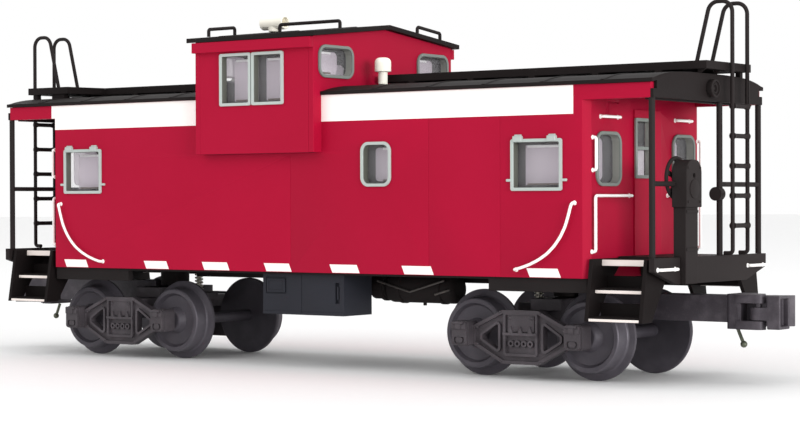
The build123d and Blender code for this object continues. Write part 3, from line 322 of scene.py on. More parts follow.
def verts_among(items):
    """The corners among what an operator made."""
    return [item for item in items if isinstance(item, bmesh.types.BMVert)]


def edges_of(verts):
    """The edges that meet some corners."""
    return list({edge for v in verts for edge in v.link_edges})


def joined_copy(node):
    """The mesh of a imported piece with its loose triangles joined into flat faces."""
    bm = bmesh.new()
    bm.from_mesh(frame["nodes"][node].data)
    bmesh.ops.remove_doubles(bm, verts=bm.verts, dist=JOINED * MM)
    flatten(bm)
    return bm


def flatten(bm):
    """Joins faces that lie in one plane."""
    bmesh.ops.dissolve_limit(bm, angle_limit=math.radians(0.4), verts=bm.verts, edges=bm.edges)
    bmesh.ops.delete(bm, geom=[edge for edge in bm.edges if not edge.link_faces], context="EDGES")


def cut(bm, axis, place):
    """Scores the whole mesh along a plane across one axis."""
    normal = Vector((0, 0, 0))
    normal[axis] = 1
    bmesh.ops.bisect_plane(
        bm, geom=bm.verts[:] + bm.edges[:] + bm.faces[:], plane_co=normal * place * MM, plane_no=normal, dist=1e-7)


def outward(facing):
    """The direction of a facing such as -y."""
    out = Vector((0, 0, 0))
    out["xyz".index(facing[-1])] = -1 if facing[0] == "-" else 1
    return out


def sink(bm, low, high, facing, depth):
    """Sinks the part of a flat face that lies between two corners, or raises it where depth is below nought."""
    out = outward(facing)
    for axis in range(3):
        if out[axis] == 0:
            cut(bm, axis, low[axis])
            cut(bm, axis, high[axis])
    chosen = [face for face in bm.faces if face.normal.dot(out) > 0.9]
    for axis in range(3):
        least, most = low[axis] * MM - 1e-7, high[axis] * MM + 1e-7
        chosen = [face for face in chosen if least <= face.calc_center_median()[axis] <= most]
    made = bmesh.ops.extrude_face_region(bm, geom=chosen)
    bmesh.ops.translate(bm, vec=out * -depth * MM, verts=verts_among(made["geom"]))
    bmesh.ops.delete(bm, geom=[face for face in chosen if face.is_valid], context="FACES_ONLY")


def block(bm, low, high):
    """A box between two corners."""
    size = [(high[axis] - low[axis]) * MM for axis in range(3)]
    middle = [(high[axis] + low[axis]) / 2 * MM for axis in range(3)]
    place = Matrix.Translation(middle) @ Matrix.Diagonal((*size, 1))
    return bmesh.ops.create_cube(bm, size=1.0, matrix=place)["verts"]


def extruded(bm, profile, push):
    """A flat outline of a few points pushed through to a solid."""
    face = bm.faces.new([bm.verts.new(Vector(point) * MM) for point in profile])
    made = bmesh.ops.extrude_face_region(bm, geom=[face], use_keep_orig=True)
    bmesh.ops.translate(bm, vec=Vector(push) * MM, verts=verts_among(made["geom"]))


def rod(bm, start, stop, radius, sides=20, tip=None):
    """A round bar between two points, tapering to the tip's radius."""
    start, stop = Vector(start) * MM, Vector(stop) * MM
    line = stop - start
    place = Matrix.Translation((start + stop) / 2) @ line.to_track_quat("Z", "Y").to_matrix().to_4x4()
    return bmesh.ops.create_cone(
        bm, cap_ends=True, segments=sides, radius1=radius * MM, radius2=(radius if tip is None else tip) * MM,
        depth=line.length, matrix=place)["verts"]


def turned(bm, centre, facing, profile, steps=36, closed=False):
    """A lathe-turned shape from (distance out, radius) points, closed at its axis or back at its first point."""
    out = Vector(facing).normalized()
    aside = out.orthogonal().normalized()
    known = set(bm.verts)
    verts = [bm.verts.new((Vector(centre) + out * along + aside * radius) * MM) for along, radius in profile]
    edges = [bm.edges.new(pair) for pair in zip(verts, verts[1:] + verts[:1] if closed else verts[1:])]
    bmesh.ops.spin(
        bm, geom=verts + edges, cent=Vector(centre) * MM, axis=out, dvec=(0, 0, 0), angle=2 * math.pi,
        steps=steps, use_merge=True)
    bmesh.ops.remove_doubles(bm, verts=[v for v in bm.verts if v not in known], dist=JOINED * MM)


def bolt(bm, centre, facing, radius, height, sides=12):
    """A round bolt or rivet head standing on a face."""
    profile = ((-0.05, 0), (-0.05, radius), (height * 0.3, radius), (height * 0.8, radius * 0.7), (height, 0))
    turned(bm, centre, facing, profile, sides)


def ring(bm, centre, facing, radius, thickness, steps, sides):
    """A round ring of round wire."""
    out = Vector(facing).normalized()
    turn = out.to_track_quat("Z", "Y").to_matrix().to_4x4()
    start = Matrix.Translation(Vector(centre) * MM) @ turn @ Matrix.Translation((radius * MM, 0, 0)) \
        @ Matrix.Rotation(math.pi / 2, 4, "X")
    circle = bmesh.ops.create_circle(
        bm, cap_ends=False, segments=sides, radius=thickness * MM, matrix=start)["verts"]
    bmesh.ops.spin(
        bm, geom=circle + edges_of(circle), cent=Vector(centre) * MM, axis=out, dvec=(0, 0, 0), angle=2 * math.pi,
        steps=steps, use_merge=True)


def coil(bm, foot, turns, pitch, radius, wire, steps=24, sides=10):
    """A coil spring standing on its foot, with its wire's ends closed."""
    start = Matrix.Translation((Vector(foot) + Vector((radius, 0, 0))) * MM) @ Matrix.Rotation(math.pi / 2, 4, "X")
    circle = bmesh.ops.create_circle(bm, cap_ends=True, segments=sides, radius=wire * MM, matrix=start)["verts"]
    faces = list({f for v in circle for f in v.link_faces})
    bmesh.ops.spin(
        bm, geom=circle + edges_of(circle) + faces, cent=Vector(foot) * MM, axis=(0, 0, 1),
        dvec=(0, 0, pitch * MM / steps), angle=2 * math.pi * turns, steps=int(turns * steps))


ARC = 6  # straight pieces in a window's rounded corner


def wall_place(facing, face):
    """Turns places on a wall, along it, up it and out from it in millimetres, into places of the car in metres."""
    out = outward(facing)
    along = Vector((1, 0, 0)) if facing[-1] == "y" else Vector((0, 1, 0))
    turn = Matrix((along, (0, 0, 1), out)).transposed().to_4x4()
    return Matrix.Translation(out * face * MM + Vector((0, 0, BODY_BOTTOM * MM))) @ turn @ Matrix.Scale(MM, 4)


def outline(bm, window, shrink, out):
    """The rounded outline of a window in wall measure, shrunk all round, at a distance out from the wall."""
    along, sill, width, height, corner = window
    corner = max(corner - shrink, 0.25)
    across, upward = width / 2 - shrink - corner, height / 2 - shrink - corner
    turn = Matrix.Rotation(math.pi / (4 * ARC), 4, "Z")
    verts = bmesh.ops.create_circle(bm, cap_ends=False, segments=4 * ARC, radius=corner, matrix=turn)["verts"]
    for right, top in ((1, 1), (-1, 1), (-1, -1), (1, -1)):
        quarter = [v for v in verts if v.co.x * right > 0 and v.co.y * top > 0]
        bmesh.ops.translate(bm, vec=(right * across, top * upward, 0), verts=quarter)
    bmesh.ops.translate(bm, vec=(along, sill + height / 2, out), verts=verts)
    return verts


def loft(bm, place, window, rings, closed=False):
    """Skins a row of outlines of a window, each given by its shrinkage and its distance out from the wall.

    The outlines are skinned far apart and moved to their places afterwards, as flat ones would be filled in.
    """
    apart = 20.0
    loops = [outline(bm, window, shrink, apart * index) for index, (shrink, out) in enumerate(rings)]
    edges = [edges_of(verts) for verts in loops]
    for first, second in zip(edges, edges[1:] + edges[:1] if closed else edges[1:]):
        bmesh.ops.bridge_loops(bm, edges=first + second)
    if not closed:
        for loop in (edges[0], edges[-1]):
            bmesh.ops.contextual_create(bm, geom=loop)
    for index, (verts, (shrink, out)) in enumerate(zip(loops, rings)):
        bmesh.ops.translate(bm, vec=(0, 0, out - apart * index), verts=verts)
        bmesh.ops.transform(bm, matrix=place, verts=verts)


def rounded(points, reach, steps=6):
    """A path of points with each inner corner eased over its reach."""
    path = [Vector(points[0])]
    for before, corner, after in zip(points, points[1:], points[2:]):
        before, corner, after = Vector(before), Vector(corner), Vector(after)
        enter = corner + (before - corner) * min(reach / (before - corner).length, 0.5)
        leave = corner + (after - corner) * min(reach / (after - corner).length, 0.5)
        for step in range(steps + 1):
            share = step / steps
            path.append(enter.lerp(corner, share).lerp(corner.lerp(leave, share), share))
    path.append(Vector(points[-1]))
    return [point for index, point in enumerate(path) if index == 0 or (point - path[index - 1]).length > 1e-4]


def tube(bm, path, radius, sides=14):
    """A round wire along a path, with closed ends."""
    path = [Vector(point) * MM for point in path]
    heading = (path[1] - path[0]).normalized()
    place = Matrix.Translation(path[0]) @ heading.to_track_quat("Z", "Y").to_matrix().to_4x4()
    verts = bmesh.ops.create_circle(bm, cap_ends=False, segments=sides, radius=radius * MM, matrix=place)["verts"]
    loop = edges_of(verts)
    bmesh.ops.contextual_create(bm, geom=loop)
    for index in range(1, len(path)):
        onward = (path[min(index + 1, len(path) - 1)] - path[index - 1]).normalized()
        made = bmesh.ops.extrude_edge_only(bm, edges=loop)["geom"]
        verts = verts_among(made)
        known = set(verts)
        loop = [item for item in made if isinstance(item, bmesh.types.BMEdge) and known.issuperset(item.verts)]
        swing = heading.rotation_difference(onward).to_matrix().to_4x4()
        move = Matrix.Translation(path[index]) @ swing @ Matrix.Translation(-path[index - 1])
        bmesh.ops.transform(bm, matrix=move, verts=verts)
        heading = onward
    bmesh.ops.contextual_create(bm, geom=loop)


HALF_TURN = Matrix.Rotation(math.pi, 4, "Z")
ACROSS = Matrix.Diagonal((1, -1, 1, 1))
ALONG = Matrix.Diagonal((-1, 1, 1, 1))


def doubled(bm, move):
    """Doubles the work, the copy turned or mirrored about the middle of the car."""
    made = bmesh.ops.duplicate(bm, geom=bm.verts[:] + bm.edges[:] + bm.faces[:])["geom"]
    bmesh.ops.transform(bm, matrix=move, verts=verts_among(made))


def placed(name, data):
    """A new object in the scene."""
    made = bpy.data.objects.new(name, data)
    bpy.context.scene.collection.objects.link(made)
    return made


def shown(name, bm, material):
    """The work as an object in one material."""
    mesh = bpy.data.meshes.new(name)
    bm.to_mesh(mesh)
    bm.free()
    mesh.materials.append(material)
    return placed(name, mesh)


def piece(name, bm, body, finish, soften=0.0, stands_for=(), crease=38):
    """Makes a finished piece from the work, riding on a body, with its edges softened where asked."""
    bmesh.ops.recalc_face_normals(bm, faces=bm.faces)
    made = shown(name, bm, finishes[finish])
    made.data.shade_smooth()
    made.data.set_sharp_from_angle(angle=math.radians(crease))
    if soften > 0:
        bevel = made.modifiers.new("softened_edges", "BEVEL")
        bevel.width = soften * MM
        bevel.segments = 2
        bevel.limit_method = "ANGLE"
        bevel.angle_limit = math.radians(crease)
        bevel.miter_outer = "MITER_ARC"
        bevel.harden_normals = True
    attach(made, body)
    if stands_for:
        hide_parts(*stands_for)


def both_trucks(name, build, finish, stands_for=()):
    """Makes one piece for each truck, the rear one turned half round."""
    for end in ("front", "rear"):
        bm = bmesh.new()
        build(bm)
        if end == "rear":
            bmesh.ops.transform(bm, matrix=HALF_TURN, verts=bm.verts)
        nodes = tuple(f"{node}_{end}" for node in stands_for)
        piece(f"{name}_{end}", bm, f"truck_{end}", finish, 0.0, nodes)


BODY_OF = {node: body for body, nodes in frame["record"]["behaviour"]["bodies"].items() for node in nodes}


def softened(node, finish, soften, work=None, crease=38):
    """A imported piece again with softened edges, after some work on its mesh."""
    bm = joined_copy(node)
    if work is not None:
        work(bm)
        bmesh.ops.remove_doubles(bm, verts=bm.verts, dist=JOINED * MM)
        flatten(bm)
    piece(node + "_moulding", bm, BODY_OF[node], finish, soften, (node,), crease)


# ---- the moulded body

SEAMS = (-1.3, 46.1, 68.9)
SEAM_HALF = 0.07
SEAM_DEPTH = 0.07
BAND_BOTTOM = 41.8
BAND_TOP = 49.1
SLOT_NEAR = 14.1
SLOT_FAR = 19.6
SLOT_BOTTOM = 44.7
SLOT_TOP = 45.1
SLOT_DEPTH = 0.6


def wall_seams(side):
    """Fine upright joints between the sheets of a side wall."""
    def work(bm):
        facing = "+y" if side > 0 else "-y"
        for place in SEAMS:
            top = CUPOLA_BOTTOM - 0.5 if place < CUPOLA_FRONT else BAND_BOTTOM
            low = (place - SEAM_HALF, side * SIDE_HALF - 0.1, up(0.3))
            sink(bm, low, (place + SEAM_HALF, side * SIDE_HALF + 0.1, up(top)), facing, SEAM_DEPTH)
    return work


def end_wall_work(side):
    """Scores the narrow slot high on an end wall and sets the hole of the door's window toward the knob side."""
    def work(bm):
        left, right = sorted((-SLOT_FAR * side, -SLOT_NEAR * side))
        low = (side * BODY_HALF - 0.1, left, up(SLOT_BOTTOM))
        high = (side * BODY_HALF + 0.1, right, up(SLOT_TOP))
        sink(bm, low, high, "+x" if side > 0 else "-x", SLOT_DEPTH)
        for nearer, shift in ((1, -1.8), (-1, -2.9)):
            edge = [
                v for v in bm.verts
                if 0.1 * MM < -v.co.y * side * nearer < 5.2 * MM and up(25.8) * MM < v.co.z < up(41.2) * MM]
            bmesh.ops.translate(bm, vec=(0, shift * side * MM, 0), verts=edge)
    return work


ROOF_JOINTS = (28.0, 46.0, 64.0, 82.0, 100.0)
CUPOLA_JOINTS = (-22.6, -1.1)
STRIP_HALF = 0.5
STRIP_RISE = 0.18
GROOVES = (1.9, 9.0, 12.4, 16.6)
GROOVE_HALF = 0.12
GROOVE_DEPTH = 0.3
FAR = 130.0  # beyond the car


def roof_strips(places, low_z):
    """Narrow raised joint strips across a roof, on what faces up above a height."""
    def work(bm):
        for place in places:
            low, high = (place - STRIP_HALF, -FAR, up(low_z)), (place + STRIP_HALF, FAR, up(FAR))
            sink(bm, low, high, "+z", -STRIP_RISE)
    return work


ROOF_ARCH = (
    # distance from the middle of the car, height of the roof's top there
    (0.0, 52.45), (8.0, 52.42), (14.0, 52.3), (19.0, 52.05), (22.0, 51.75), (24.6, 51.35), (26.8, 50.9),
    (28.6, 50.4), (29.6, 50.15),
)


def arched(work=None):
    """Eases what meets the roof's straight slopes to the low arch of the real roof, after some other work."""
    def ease(bm):
        if work is not None:
            work(bm)
        for across, _ in ROOF_ARCH[1:]:
            cut(bm, 1, across)
            cut(bm, 1, -across)
        for v in bm.verts:
            across, height = abs(v.co.y) / MM, v.co.z / MM - BODY_BOTTOM
            straight = RIDGE + ROOF_SKIN - ROOF_SLOPE * across
            if EAVE - 0.05 < height < straight + 0.3:
                for (near, near_top), (far, far_top) in zip(ROOF_ARCH, ROOF_ARCH[1:]):
                    if near <= across <= far:
                        arch = near_top + (far_top - near_top) * (across - near) / (far - near)
                        v.co.z += (arch - straight) * MM
                        break
    return ease


def planks(bm):
    """Grooves between the planks of a running board and of its landing."""
    for groove in [-place for place in GROOVES[::-1]] + list(GROOVES):
        low = (-FAR, groove - GROOVE_HALF, up(WALK_TOP - 0.1))
        sink(bm, low, (FAR, groove + GROOVE_HALF, up(WALK_TOP + 0.1)), "+z", GROOVE_DEPTH)


softened("side_wall_left", "body", 0.12, wall_seams(-1))
softened("side_wall_right", "body", 0.12, wall_seams(1))
softened("end_wall_front", "body", 0.12, arched(end_wall_work(1)))
softened("end_wall_rear", "body", 0.12, arched(end_wall_work(-1)))
for node in ("cupola_side_left", "cupola_side_right"):
    softened(node, "cupola", 0.15)
for node in ("cupola_end_front", "cupola_end_rear"):
    softened(node, "cupola", 0.15, arched())
softened("roof_front", "roof", 0.2, arched(roof_strips(ROOF_JOINTS, EAVE)))
softened("roof_rear", "roof", 0.2, arched(roof_strips([-place for place in ROOF_JOINTS[1:]], EAVE)))
softened("cupola_roof", "roof", 0.2, roof_strips(CUPOLA_JOINTS, CUPOLA_EAVE))
for node in ("roof_walk_front", "roof_walk_rear"):
    softened(node, "roof", 0.12, arched(planks))
for node in ("smoke_jack", "roof_vent"):
    softened(node, "ivory", 0.25, arched())

# ---- windows

WINDOW_PARTS = ("frames", "sleeves", "panes", "plates", "highlight_rims", "sills")
FRAME_BAND = 0.85
FRAME_PROUD = 0.6
SLEEVE = 0.65
PLATE_BACK = 5.1
PLATE_FRONT = 4.5
PLATE_EDGE = 1.5
PANE_FRONT = 1.82
PANE_BACK = 2.6
CABIN_WINDOWS = (
    # along, sill, width, height, corner
    (-82.0, 22.3, 15.6, 13.4, 0.6),
    (80.2, 22.3, 15.6, 13.4, 0.6),
    (28.7, 23.7, 10.2, 12.2, 2.6),
)
LOOKOUT_WINDOWS = ((-18.275, 46.8, 11.55, 14.9, 0.6), (-6.425, 46.8, 11.55, 14.9, 0.6))
END_WINDOWS = ((19.8, 23.4, 12.6, 14.1, 3.2), (-19.8, 23.4, 12.6, 14.1, 3.2))
DOOR_WINDOW = (-2.35, 25.5, 9.7, 15.8, 0.4)
LOOKOUT_END_WINDOWS = ((23.2, 54.0, 15.8, 9.2, 3.0), (-23.2, 54.0, 15.8, 9.2, 3.0))


def glaze(work, place, window):
    """One window: frame, sleeve, the pane behind the wall, and a pale plate of painted reflection, with a bar of
    painted highlight along its top and a bar of painted shade along its bottom.
    """
    along, sill, width, height, corner = window
    inner = FRAME_BAND + 0.03
    frame_rings = ((0, 0), (0, FRAME_PROUD), (FRAME_BAND, FRAME_PROUD), (FRAME_BAND, 0))
    sleeve_rings = ((SLEEVE, 0.2), (inner, 0.2), (inner, -WALL), (SLEEVE, -WALL))
    loft(work["frames"], place, window, frame_rings, closed=True)
    loft(work["sleeves"], place, window, sleeve_rings, closed=True)
    loft(work["panes"], place, window, ((0.1, -PANE_FRONT), (0.1, -PANE_BACK)))
    loft(work["plates"], place, window, ((PLATE_EDGE, -PLATE_FRONT), (PLATE_EDGE, -PLATE_BACK)))
    left, right = along - width / 2 + PLATE_EDGE + corner, along + width / 2 - PLATE_EDGE - corner
    top, bottom = sill + height - PLATE_EDGE, sill + PLATE_EDGE
    back, front = -PLATE_FRONT - 0.1, -PLATE_FRONT + 0.12
    # a painted highlight along the plate's top and a painted shade along its bottom
    wall_block(work["highlight_rims"], place, (left, top - 0.65, back), (right, top - 0.02, front))
    wall_block(work["sills"], place, (left, bottom + 0.02, back), (right, bottom + 0.5, front))


def wall_block(bm, place, low, high):
    """A box on a wall, between two corners given along, up and out."""
    verts = block(bm, low, high)
    bmesh.ops.transform(bm, matrix=place @ Matrix.Scale(1 / MM, 4), verts=verts)


def windows(name, work, finish, sleeve_finish, stands_for):
    """Makes the pieces of a group of windows."""
    for part, slot, made_of, soften, nodes in (
        ("frames", "grey_trim", finish, 0.12, stands_for), ("sleeves", "grey_trim", sleeve_finish, 0.0, ()),
        ("panes", "clear_plastic", "pane", 0.0, ("window_panes",)), ("plates", "clear_plastic", "milk", 0.05, ()),
        ("highlight_rims", "clear_plastic", "rim", 0.05, ()), ("sills", "clear_plastic", "sill", 0.05, ()),
    ):
        piece(f"window_{part}_{name}", work[part], "car_body", made_of, soften, nodes)


def side_windows():
    """The windows of both sides and of the cupola's sides, with the lugs and pins round the large ones."""
    work = {part: bmesh.new() for part in WINDOW_PARTS}
    lugs = bmesh.new()
    for facing in ("-y", "+y"):
        cabin, lookout = wall_place(facing, SIDE_HALF), wall_place(facing, CUPOLA_HALF)
        for place, group in ((cabin, CABIN_WINDOWS), (lookout, LOOKOUT_WINDOWS)):
            for window in group:
                glaze(work, place, window)
        for along, sill, width, height, _ in CABIN_WINDOWS[:2]:
            left, top = along - width / 2, sill + height
            for start, stop in ((0.9, 3.6), (11.3, 13.9)):
                wall_block(lugs, cabin, (left + start, top - 0.8, -0.3), (left + stop, top + 0.75, 1.0))
                wall_block(lugs, cabin, (left + start + 0.3, top + 0.3, -0.3), (left + stop - 0.3, top + 1.15, 0.6))
            for start, stop in ((-1.3, 0.2), (width - 0.2, width + 1.4)):
                wall_block(lugs, cabin, (left + start, sill + 2.4, -0.3), (left + stop, sill + 3.1, 0.7))
    # the side sleeves take the copy darkened as painted shade
    windows("sides", work, "frame", "reveal", ("side_window_frames",))
    piece("window_lugs", lugs, "car_body", "frame", 0.2)


def end_windows():
    """The windows of the end walls, of the doors with their middle bar, and of the cupola's ends."""
    work = {part: bmesh.new() for part in WINDOW_PARTS}
    for facing, turn in (("+x", 1), ("-x", -1)):
        wall = wall_place(facing, BODY_HALF)
        lookout = wall_place(facing, CUPOLA_FRONT if turn > 0 else -CUPOLA_REAR)
        door = wall_place(facing, DOOR_FACE)
        door_window = (DOOR_WINDOW[0] * turn, *DOOR_WINDOW[1:])
        for place, group in ((wall, END_WINDOWS), (lookout, LOOKOUT_END_WINDOWS), (door, (door_window,))):
            for window in group:
                glaze(work, place, window)
        along, sill, width, height, _ = door_window
        middle = sill + height / 2
        left, right = along - width / 2 + SLEEVE, along + width / 2 - SLEEVE
        wall_block(work["frames"], door, (left, middle - 0.45, -0.5), (right, middle + 0.45, FRAME_PROUD))
    # the end frames take the trim darkened as painted shade, and their sleeves take the copy lightened as painted
    # light
    windows("ends", work, "dull_frame", "pale_reveal", ("end_window_frames", "cupola_window_frames"))


side_windows()
end_windows()

# ---- the white handrails

WIRE = 0.4
SIDE_RAIL = (
    # along the car and up, down the curve of the rail
    (91.2, 19.0), (91.0, 18.0), (90.4, 15.8), (89.4, 13.0), (88.0, 10.5), (86.2, 8.2), (84.0, 6.2), (81.4, 4.6),
    (78.5, 3.3), (75.5, 2.35), (74.2, 2.0),
)
END_RAILS = (
    # plane of the feet, then the corners from foot to foot, across and up
    (BODY_HALF, ((-27.3, 35.8), (-27.3, 27.5))),
    (BODY_HALF, ((27.9, 35.8), (27.9, 27.5))),
    (BODY_HALF, ((-27.7, 6.8), (-27.7, 21.0), (-9.0, 21.0))),
    (BODY_HALF, ((27.7, 6.8), (27.7, 21.0), (11.2, 21.0))),
    (BODY_HALF, ((-23.4, 41.2), (-14.8, 41.2))),
    (BODY_HALF, ((15.5, 41.2), (23.5, 41.2))),
    (DECK_END, ((-28.8, 2.5), (-20.0, 2.5))),
    (DECK_END, ((19.6, 2.4), (28.4, 2.4))),
)


def rail_foot(bm, place, facing):
    """The slightly spread foot of a handrail."""
    turned(bm, place, facing, ((-0.1, 0), (-0.1, 0.62), (0.12, 0.6), (0.3, 0.45), (0.3, 0)), 18)


def handrails():
    """The white wire handrails of the sides and ends, with their feet."""
    sides, ends = bmesh.new(), bmesh.new()
    stand = -SIDE_HALF - 1.3
    (top_x, top_z), (foot_x, foot_z) = SIDE_RAIL[0], SIDE_RAIL[-1]
    first, last = (top_x + 0.3, -SIDE_HALF, up(top_z + 0.2)), (foot_x - 0.3, -SIDE_HALF, up(foot_z))
    curve = [(x, stand, up(z)) for x, z in SIDE_RAIL[1:-1]]
    path = [first, (first[0], stand, first[2]), *curve, (last[0], stand, last[2]), last]
    tube(sides, rounded(path, 0.9), WIRE)
    rail_foot(sides, first, (0, -1, 0))
    rail_foot(sides, last, (0, -1, 0))
    doubled(sides, ALONG)
    doubled(sides, ACROSS)
    for plane, corners in END_RAILS:
        corners = [(y, up(z)) for y, z in corners]
        first, last = (plane, *corners[0]), (plane, *corners[-1])
        tube(ends, rounded([first, *[(plane + 1.1, *corner) for corner in corners], last], 0.8), WIRE)
        rail_foot(ends, first, (1, 0, 0))
        rail_foot(ends, last, (1, 0, 0))
    doubled(ends, HALF_TURN)
    piece("side_rail_wires", sides, "car_body", "white", 0.0, ("side_handrails",), crease=50)
    piece("end_rail_wires", ends, "car_body", "white", 0.0, ("end_handrails",), crease=50)


handrails()
softened("roof_grabs", "black", 0.0, arched(), crease=50)

# ---- platforms, steps and porches

STEP_START = 95.6
STEP_END = 112.4
STRINGER = 1.1
TREADS = (
    # tread top, front of the tread across the car, how far its edge hangs down, top of the riser behind it
    (4.7, 24.9, 1.5, 4.7), (-2.4, 28.3, 1.25, 0.6), (-9.5, 31.6, 1.1, -6.2),
)
TREAD_DEPTH = 6.2
STEP_BACK = 15.9
RIBS = 4
RIB_FIRST = 1.7
RIB_PITCH = 0.9
BOARD_GROOVES = 5
BOARD_FIRST = 98.0
BOARD_PITCH = 3.3


def steps():
    """The step castings of the four corners and the pale rolled edges of their treads."""
    castings, edges = bmesh.new(), bmesh.new()
    profile = ((29.2, 5.0), (31.9, -10.7), (27.1, -10.7), (20.5, -1.1), (STEP_BACK, 3.0), (STEP_BACK, 5.0))
    for start in (STEP_START, STEP_END - STRINGER):
        extruded(castings, [(start, -y, up(z)) for y, z in profile], (STRINGER, 0, 0))
    near, far = STEP_START + STRINGER - 0.1, STEP_END - STRINGER + 0.1
    for top, front, drop, riser in TREADS:
        back = STEP_BACK if top > 0 else front - TREAD_DEPTH
        block(castings, (near, -front, up(top - 0.8)), (far, -back, up(top)))
        if riser > top:
            block(castings, (near, -back - 0.1, up(top - 0.8)), (far, -back + 0.6, up(riser)))
        for rib in range(RIBS):
            line = front - RIB_FIRST - RIB_PITCH * rib
            block(castings, (near + 0.5, -line - 0.2, up(top - 0.1)), (far - 0.5, -line + 0.2, up(top + 0.16)))
        lip = top + 0.06 if top > 0 else top - 0.4
        block(edges, (near + 0.12, -front - 0.08, up(top - drop)), (far - 0.12, -front + 0.9, up(lip)))
    for bm in (castings, edges):
        doubled(bm, ACROSS)
        doubled(bm, HALF_TURN)
    nodes = tuple(f"steps_{end}_{side}" for end in ("front", "rear") for side in ("left", "right"))
    piece("step_castings", castings, "car_body", "step", 0.1, nodes)
    piece("step_edges", edges, "car_body", "edge", 0.15)


def header_sides():
    """The red strips that close the gap between the walls' top edge and the strips under the roof."""
    bm = bmesh.new()
    block(bm, (93.6, -SIDE_HALF + 0.02, up(47.4)), (113.6, -28.1, up(49.15)))
    doubled(bm, ACROSS)
    doubled(bm, HALF_TURN)
    piece("header_sides", bm, "car_body", "crimson", 0.1)


def porch_beams():
    """The black beam under each overhanging roof end, behind the end fascia."""
    bm = bmesh.new()
    back, half, low, high = 110.8, 27.6, up(44.9), up(EAVE)
    extruded(bm, ((back, -half, low), (back, half, low), (back, half, high), (back, -half, high)), (1.4, 0, 0))
    doubled(bm, HALF_TURN)
    piece("porch_beams", bm, "car_body", "underframe", 0.15)


def deck_boards(bm):
    """Grooves between the boards of a platform."""
    for place in range(BOARD_GROOVES):
        x = BOARD_FIRST + BOARD_PITCH * place
        for line in (x, -x):
            sink(bm, (line - 0.1, -FAR, up(DECK_TOP - 0.1)), (line + 0.1, FAR, up(DECK_TOP + 0.1)), "+z", 0.25)


for node in ("platform_front", "platform_rear"):
    softened(node, "black", 0.12, deck_boards)
steps()
header_sides()
porch_beams()

for node in ("railings_front", "railings_rear", "ladder_front", "ladder_rear"):
    softened(node, "black", 0.1)
for node in ("brake_stand_front", "brake_stand_rear"):
    softened(node, "black", 0.2)

RUNGS = 5
RUNG_FIRST = 13.1
RUNG_PITCH = 7.8
RUNG_LINE = 117.1
RUNG_START = 7.1
RUNG_STOP = 15.5
BRAKE_LINE = -14.0
BRAKE_CENTRE = 25.4
BRAKE_WHEEL_RADIUS = 5.1
SPOKES = 5


def ladder_rungs():
    """Thicker rungs with flared ends for each ladder."""
    bm = bmesh.new()
    for rung in range(RUNGS):
        height = up(RUNG_FIRST + RUNG_PITCH * rung)
        rod(bm, (RUNG_LINE, RUNG_START, height), (RUNG_LINE, RUNG_STOP, height), 0.62, 16)
        for end, inward in ((RUNG_START, 1), (RUNG_STOP, -1)):
            rod(bm, (RUNG_LINE, end, height), (RUNG_LINE, end + 1.5 * inward, height), 1.0, 16, 0.62)
    doubled(bm, HALF_TURN)
    piece("ladder_rungs", bm, "car_body", "black")


def lamps():
    """The round end lamps: a housing with stepped rings around a sunken middle."""
    bm = bmesh.new()
    profile = (
        (-0.1, 0), (-0.1, 2.2), (0.2, 2.35), (1.6, 2.35), (1.8, 2.2), (1.8, 1.9), (1.35, 1.8), (1.2, 1.55),
        (1.2, 1.35), (1.5, 1.25), (1.5, 1.0), (0.9, 0.85), (0.9, 0.5), (1.15, 0.4), (1.15, 0),
    )
    turned(bm, (ROOF_END, 0, up(48.6)), (1, 0, 0), profile, 48)
    doubled(bm, HALF_TURN)
    piece("lamp_housings", bm, "car_body", "black", 0.0, ("end_lamps",), crease=30)


def brake_wheels():
    """Brake wheels with a round rim, five flat spokes and a dished hub."""
    bm = bmesh.new()
    middle = Vector((112.1, BRAKE_LINE, up(BRAKE_CENTRE)))
    ring(bm, middle, (1, 0, 0), BRAKE_WHEEL_RADIUS, 0.5, 56, 14)
    for spoke in range(SPOKES):
        low = (111.85, BRAKE_LINE - 0.6, up(BRAKE_CENTRE))
        verts = block(bm, low, (112.35, BRAKE_LINE + 0.6, up(BRAKE_CENTRE + BRAKE_WHEEL_RADIUS)))
        turn = Matrix.Rotation(spoke * 2 * math.pi / SPOKES, 3, "X")
        bmesh.ops.rotate(bm, cent=middle * MM, matrix=turn, verts=verts)
    profile = ((-0.5, 0), (-0.5, 1.5), (-0.2, 1.7), (0.2, 1.7), (0.45, 1.2), (0.5, 0.8), (0.5, 0))
    turned(bm, middle, (1, 0, 0), profile, 28)
    doubled(bm, HALF_TURN)
    nodes = ("brake_wheel_front", "brake_wheel_rear")
    piece("brake_wheel_castings", bm, "car_body", "black", 0.08, nodes)


def stand_details():
    """The gear cover, bolts and cross ribs on each brake stand."""
    bm = bmesh.new()
    face = 117.3
    cover = ((-0.1, 0), (-0.1, 2.4), (0.15, 2.4), (0.25, 2.1), (0.25, 0))
    turned(bm, (face, BRAKE_LINE, up(22.6)), (1, 0, 0), cover, 32)
    for side in (-3.1, 3.1):
        for height in (19.4, 28.0):
            bolt(bm, (face, BRAKE_LINE + side, up(height)), (1, 0, 0), 0.4, 0.25)
    for height in (7.0, 16.6):
        block(bm, (116.5, BRAKE_LINE - 3.0, up(height)), (116.85, BRAKE_LINE + 3.0, up(height + 0.7)))
    doubled(bm, HALF_TURN)
    piece("brake_stand_details", bm, "car_body", "black", 0.06)


def landing_gussets():
    """Small slanted plates that carry each roof landing."""
    bm = bmesh.new()
    for y in (-4.6, 4.0):
        extruded(bm, ((113.2, y, up(51.9)), (115.6, y, up(53.6)), (113.2, y, up(53.6))), (0, 0.6, 0))
    doubled(bm, HALF_TURN)
    piece("landing_gussets", bm, "car_body", "roof", 0.05)


ladder_rungs()
lamps()
brake_wheels()
stand_details()
landing_gussets()

# ---- under the floor

